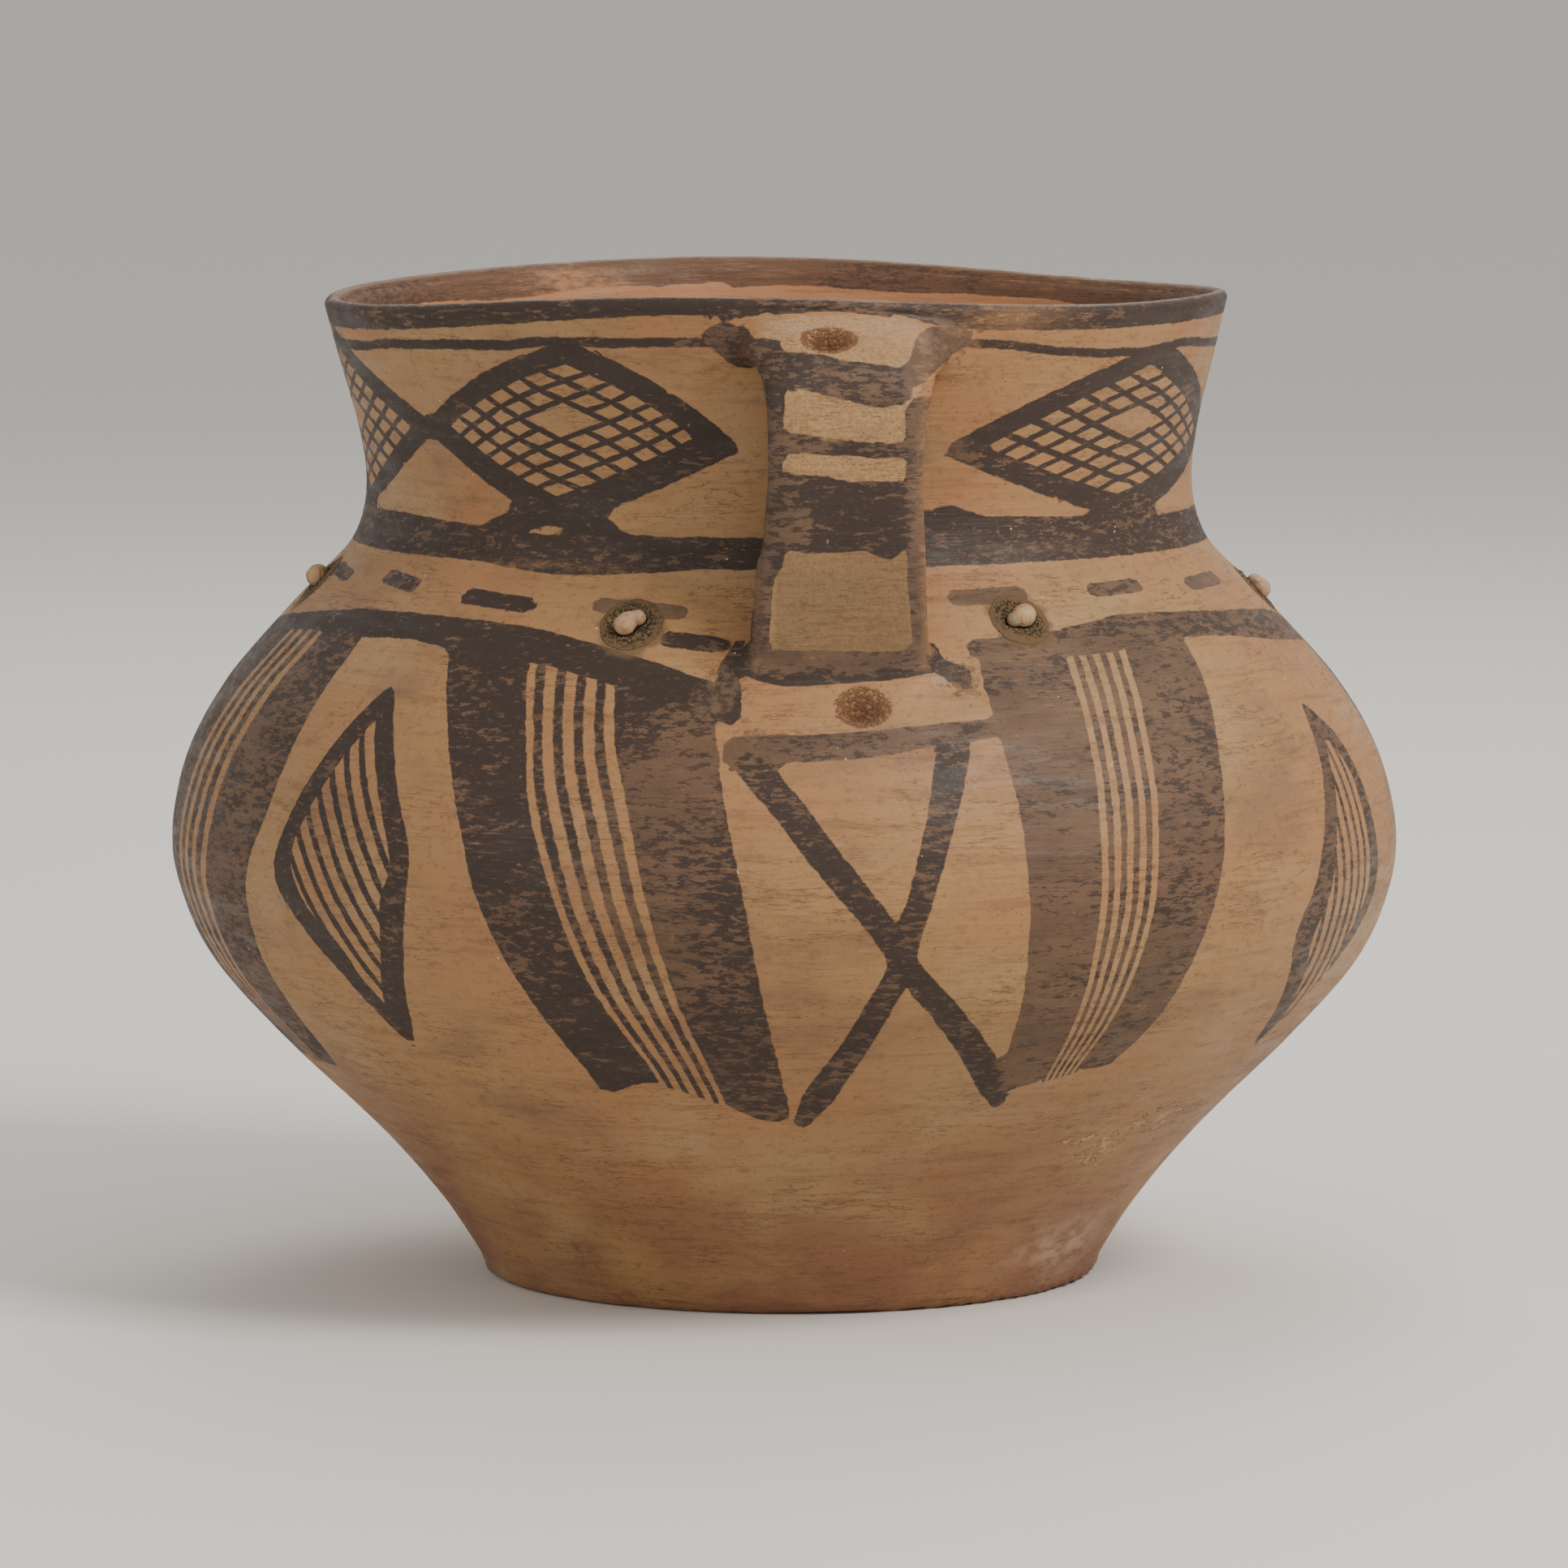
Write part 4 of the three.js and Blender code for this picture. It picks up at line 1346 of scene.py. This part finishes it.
def earthenware():
    f = Finish("painted_earthenware", BUFF, 0.55)
    clay, streaks, cracks = clay_colour(f)
    inside = f.read("inside")
    cover = paint_cover(f)
    dark, flakes = paint_left(f, inside)
    dark = f.most(dark, f.times(cracks, 0.75))
    gone = f.plus(f.times(f.read("bare"), 1.2), f.minus(flakes, 0.75), clamp=True)
    scuffs = f.spread(f.noise(0.35, 3.0, (14, 14, 1), 0.6), 0.54, 0.66)
    gone = f.most(gone, f.times(scuffs, f.times(f.read("scuff"), 0.5)))
    cover = f.times(cover, f.minus(1.0, gone))
    stain = f.blend(STAIN, DEEP_STAIN, f.spread(f.noise(5.0, 5.0, (3, 3, 1), 0.65), 0.35, 0.65))
    colour = f.blend(clay, stain, f.times(cover, 0.88))
    colour = f.blend(colour, DARK_PAINT, f.times(cover, f.times(dark, 0.92)))

    ragged = f.minus(f.noise(1.6, 4.0, (1.3, 1.3, 1), 0.75), 0.5)
    film = f.spread(f.plus(f.read("film"), f.times(ragged, 2.2)), 0.35, 0.6)
    dirt = f.blend(FILM, DEEP_STAIN, f.spread(f.noise(1.2, 4.0), 0.45, 0.6))
    colour = f.blend(colour, dirt, f.times(film, 0.7))
    smear = f.plus(f.read("smear"), f.times(ragged, 1.6))
    colour = f.blend(colour, tone(102, 80, 56), f.spread(smear, 0.1, 1.1, 0.0, 0.85))
    scabs = f.spread(f.noise(1.3, 4.0, (2, 2, 1), 0.7), 0.3, 0.7)
    crust = f.spread(f.plus(f.read("crust"), scabs), 1.2, 1.32)
    colour = f.blend(colour, tone(178, 140, 96), f.times(crust, 0.85))
    chalk = f.times(f.read("chalk"), f.spread(f.noise(3.0, 5.0, (2, 2, 1), 0.65), 0.4, 0.65))
    colour = f.blend(colour, tone(176, 150, 120), chalk)

    # The sockets bare raw clay with dark grit, and are painted darker towards their middle: painted shade
    # in the hollow
    sunk = f.read("raw_clay_and_painted_shade")
    grit = f.spread(f.noise(0.6, 3.0, (1, 1, 1), 0.7), 0.4, 0.65)
    raw_clay_and_painted_shade = f.blend(tone(164, 118, 82), tone(120, 82, 56), f.spread(sunk, 0.1, 0.95))
    raw_clay_and_painted_shade = f.blend(raw_clay_and_painted_shade, tone(84, 58, 42), f.times(grit, 0.3))
    chipped = f.spread(f.plus(sunk, f.times(ragged, 0.35)), 0.04, 0.12)
    colour = f.blend(colour, raw_clay_and_painted_shade, chipped)
    specks = f.spread(f.cells(6.5), 0.018, 0.034, 0.7, 0.0)
    gouge = f.spread(f.plus(f.read("gouge"), f.times(ragged, 0.5)), -0.2, 0.1)
    colour = f.blend(colour, PALE, f.most(specks, f.times(gouge, 0.3)))
    inner_clay = f.blend(tone(166, 108, 70), tone(178, 132, 94), f.noise(18, 4.0))
    strokes = f.spread(f.noise(1.2, 4.0, (12, 12, 1)), 0.5, 0.75, 0.0, 0.3)
    inner_clay = f.blend(inner_clay, STREAK, strokes)
    band = f.times(cover, f.plus(f.times(dark, 0.2), 0.76))
    inner = f.blend(inner_clay, tone(62, 47, 39), band)
    colour = f.blend(colour, inner, f.spread(inside, 0.1, 0.5))

    roughness = f.spread(f.noise(2.0, 4.0, (5, 5, 1)), 0.3, 0.7, 0.46, 0.66)
    dull = f.most(f.spread(sunk, 0.04, 0.12), f.most(f.read("smear"), film))
    roughness = f.plus(roughness, f.times(dull, 0.3), clamp=True)
    normal = f.bump(streaks, 0.42, 0.6)
    normal = f.bump(f.noise(0.9, 3.0), 0.16, 0.5, normal)
    normal = f.bump(f.minus(f.times(crust, 1.2), gouge), 0.5, 1.0, normal)
    normal = f.bump(f.times(grit, f.spread(sunk, 0.04, 0.12)), 0.5, 1.0, normal)
    return f.done(colour, roughness, normal)


def bone(name, light, dark, stretch):
    """Polished or fibrous bone."""
    f = Finish(name, light, 0.45)
    grain = f.noise(0.8, 4.0, stretch, 0.6)
    colour = f.blend(light, dark, f.spread(grain, 0.45, 0.75, 0.0, 0.8))
    colour = f.blend(colour, tone(120, 110, 92), f.spread(f.read("lesser"), 0.3, 0.7, 0.0, 0.75))
    return f.done(colour, f.spread(grain, 0.3, 0.7, 0.4, 0.65), f.bump(grain, 0.3, 0.7))


def mastic():
    f = Finish("mastic", tone(62, 54, 38), 0.85)
    grain = f.noise(0.45, 4.0, (1, 1, 1), 0.7)
    colour = f.blend(tone(40, 34, 26), tone(120, 96, 62), f.spread(grain, 0.42, 0.62))
    edge = f.plus(f.read("rich"), f.times(f.minus(f.noise(1.0, 6.0, (1, 1, 1), 0.65), 0.5), 4.0))
    colour = f.blend(tone(108, 84, 58), colour, f.spread(edge, -0.9, 0.6))
    return f.done(colour, f.spread(grain, 0.3, 0.7, 0.7, 0.95), f.bump(grain, 0.4, 0.9))


# Lobes of a bead as (middle, half sizes), both in millimetres along its length, across it
# and out of the wall. All of them hold the bead's middle.
BEAN = [
    ((-0.8, -0.1, 0), (1.7, 1.7, 1.5)),
    ((1.25, 0.15, -0.1), (1.3, 1.15, 1.15)),
    ((0.2, 0.5, 0), (1.2, 1.0, 1.2)),
]
KNOB = [((0.5, 0, 0.1), (1.9, 1.75, 1.6)), ((-1.15, 0.15, -0.3), (1.3, 1.1, 1.05))]


def bead_shape(number):
    """A bead's points in its own frame, from the skin under it, and its faces."""
    shape = bmesh.new()
    bmesh.ops.create_icosphere(shape, subdivisions=5, radius=1)
    ways = np.array([v.co for v in shape.verts])
    faces = [[v.index for v in face.verts] for face in shape.faces]
    shape.free()
    reaches = []
    for middle, half in BEAN if number % 2 else KNOB:
        middle = np.array(middle)
        half = np.array(half)
        square = ((ways / half) ** 2).sum(1)
        slope = (ways * middle / half**2).sum(1)
        rest = ((middle / half) ** 2).sum() - 1
        reaches.append((slope + np.sqrt(slope**2 - square * rest)) / square)
    reach = sum(r**9 for r in reaches) ** (1 / 9)
    lumps = 1 + 0.05 * grain_noise(ways, 0.6, 20 + number) + 0.02 * grain_noise(ways, 0.2, 30 + number)
    points = ways * (reach * lumps)[:, None]
    return points + (0, 0, STUD_RISE), faces


def bead(number, material):
    """A bone bead of two lobes."""
    spot, out, way = stud_place(number)
    local, faces = bead_shape(number)
    points = local @ frame_of(spot, out, way) + np.array(spot)
    mesh = new_mesh(f"bone_bead_{number}", points, faces)
    lesser = np.zeros(len(points)) if number % 2 else smooth(-local[:, 0], 1.0, 1.5)
    keep(mesh, "lesser", lesser)
    return dressed(f"bone_bead_{number}", mesh, material, "bone", f"bone_stud_{number}")


def dressed(name, mesh, material, slot, *nodes):
    """An object of a mesh with its material, which stands for some nodes of the frame."""
    mesh.materials.clear()
    mesh.materials.append(material)
    mesh.shade_smooth()
    piece = new_object(name, mesh)
    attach(piece, "root")
    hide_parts(*nodes)
    return piece


def mastic_bed(number, material):
    """Grainy mastic that fills a pit round its bead and laps a little over the pit's edge."""
    spot, out, way = stud_place(number)
    axes = frame_of(spot, out, way)
    rings = 26
    sides = 72
    shares = np.linspace(0, 1, rings + 1)[1:]
    angles = np.linspace(0, 2 * np.pi, sides, endpoint=False)
    rim = np.stack([np.cos(angles), np.sin(angles), 0 * angles], 1)
    width = PIT_WIDTH / 2 + 0.25 + 0.3 * grain_noise(rim, 0.4, 60 + number)
    x = np.append((shares[:, None] * width * np.cos(angles)).ravel(), 0)
    y = np.append((shares[:, None] * width * np.sin(angles)).ravel(), 0)
    share = np.append(np.repeat(shares, sides), 0)
    flat = np.stack([x, y, 0 * x], 1)

    skin = Wall()
    true = unsettled(flat @ axes + np.array(spot))
    found, gap = skin.find(true)
    level = ((settle(skin.moved(true, found, -gap)) - np.array(spot)) @ axes.T)[:, 2]
    grains = grain_noise(flat, 0.9, 40 + number) * 0.2 + grain_noise(flat, 0.45, 50 + number) * 0.16
    proud = 0.07 + (0.16 + grains) * smooth(1 - share, 0, 0.35)
    hollow, _ = bead_shape(number)
    gaps = np.hypot(flat[:, :1] - hollow[:, 0], flat[:, 1:2] - hollow[:, 1])
    under = np.where(gaps < 0.3, hollow[:, 2], 9).min(1) - 0.12
    top = np.minimum(level + proud, under)
    reach = np.hypot(x, y) / (PIT_WIDTH / 2)
    bottom = np.minimum(level, (reach**2 - 1) * (PIT_DEPTH - 0.3) - 0.05)
    bottom = np.where(reach > 0.97, level, bottom)
    top = np.maximum(top, bottom + 0.07)

    points = np.vstack([np.stack([x, y, top], 1), np.stack([x, y, bottom], 1)]) @ axes + np.array(spot)
    count = rings * sides + 1
    middle = count - 1
    faces = []
    for side in range(sides):
        after = (side + 1) % sides
        faces.append((middle, side, after))
        faces.append((count + middle, count + after, count + side))
        for ring in range(rings - 1):
            a = ring * sides + side
            b = ring * sides + after
            faces.append((a, a + sides, b + sides, b))
            faces.append((count + a, count + b, count + b + sides, count + a + sides))
        a = (rings - 1) * sides + side
        b = (rings - 1) * sides + after
        faces.append((a, count + a, count + b, b))
    mesh = new_mesh(f"grainy_mastic_{number}", points, faces)
    slant = math.radians(-58)
    low = x * math.cos(slant) + y * math.sin(slant)
    aside = x * math.sin(slant) - y * math.cos(slant)
    rich = 4.1 - np.hypot(low, aside * (1 if number % 2 else 1.35))
    keep(mesh, "rich", np.tile(rich, 2))
    return dressed(f"grainy_mastic_{number}", mesh, material, "mastic", f"mastic_bed_{number}")


def make_jar():
    mesh, carved = shape_jar()
    dent(mesh)
    painted(mesh, carved)
    return dressed("painted_jar", mesh, earthenware(), "painted_earthenware", "jar")


def make_camera():
    """The photograph's viewpoint, fitted to the jar's outline."""
    data = bpy.data.cameras.new("camera")
    data.sensor_width = 36
    data.lens = 204.1
    camera = new_object("camera", data)
    camera.location = (-0.16696, -1.35979, 0.21786)
    camera.rotation_euler = (math.radians(84.067), 0, math.radians(-7))
    bpy.context.scene.camera = camera


def softbox(name, location, size, power, colour=(1, 1, 1)):
    data = bpy.data.lights.new(name, "AREA")
    data.size = size
    data.energy = power
    data.color = colour
    lamp = new_object(name, data)
    lamp.location = location
    aim = Vector((0, 0, 0.08)) - Vector(location)
    lamp.rotation_euler = aim.to_track_quat("-Z", "Y").to_euler()


def make_studio():
    mesh = bpy.data.meshes.new("floor")
    mesh.from_pydata([(-30, -30, 0), (30, -30, 0), (30, 30, 0), (-30, 30, 0)], [], [(0, 1, 2, 3)])
    floor = new_object("floor", mesh)
    pale = bpy.data.materials.new("pale_floor")
    pale.use_nodes = True
    shader = pale.node_tree.nodes["Principled BSDF"]
    shader.inputs["Base Color"].default_value = tone(222, 219, 214)
    shader.inputs["Roughness"].default_value = 0.9
    mesh.materials.append(pale)
    world = bpy.data.worlds.new("studio")
    world.use_nodes = True
    backdrop = world.node_tree.nodes["Background"]
    backdrop.inputs["Color"].default_value = tone(236, 234, 230)
    backdrop.inputs["Strength"].default_value = 0.78
    bpy.context.scene.world = world
    softbox("key", (0.75, -0.75, 1.05), 0.5, 18, (1, 0.97, 0.93))
    softbox("fill", (-1.1, -0.9, 0.5), 0.9, 3.5, (0.95, 0.97, 1))
    softbox("back", (0.2, 0.9, 1.1), 0.7, 7, (1, 0.97, 0.94))


make_camera()
make_studio()
make_jar()
polished_bone = bone("polished_bone", tone(170, 136, 104), tone(136, 102, 76), (1, 1, 1))
fibrous_bone = bone("fibrous_bone", tone(180, 146, 106), tone(112, 82, 56), (1, 1, 5))
mastic_finish = mastic()
for number in range(1, STUDS + 1):
    bead(number, polished_bone if number % 2 else fibrous_bone)
    mastic_bed(number, mastic_finish)
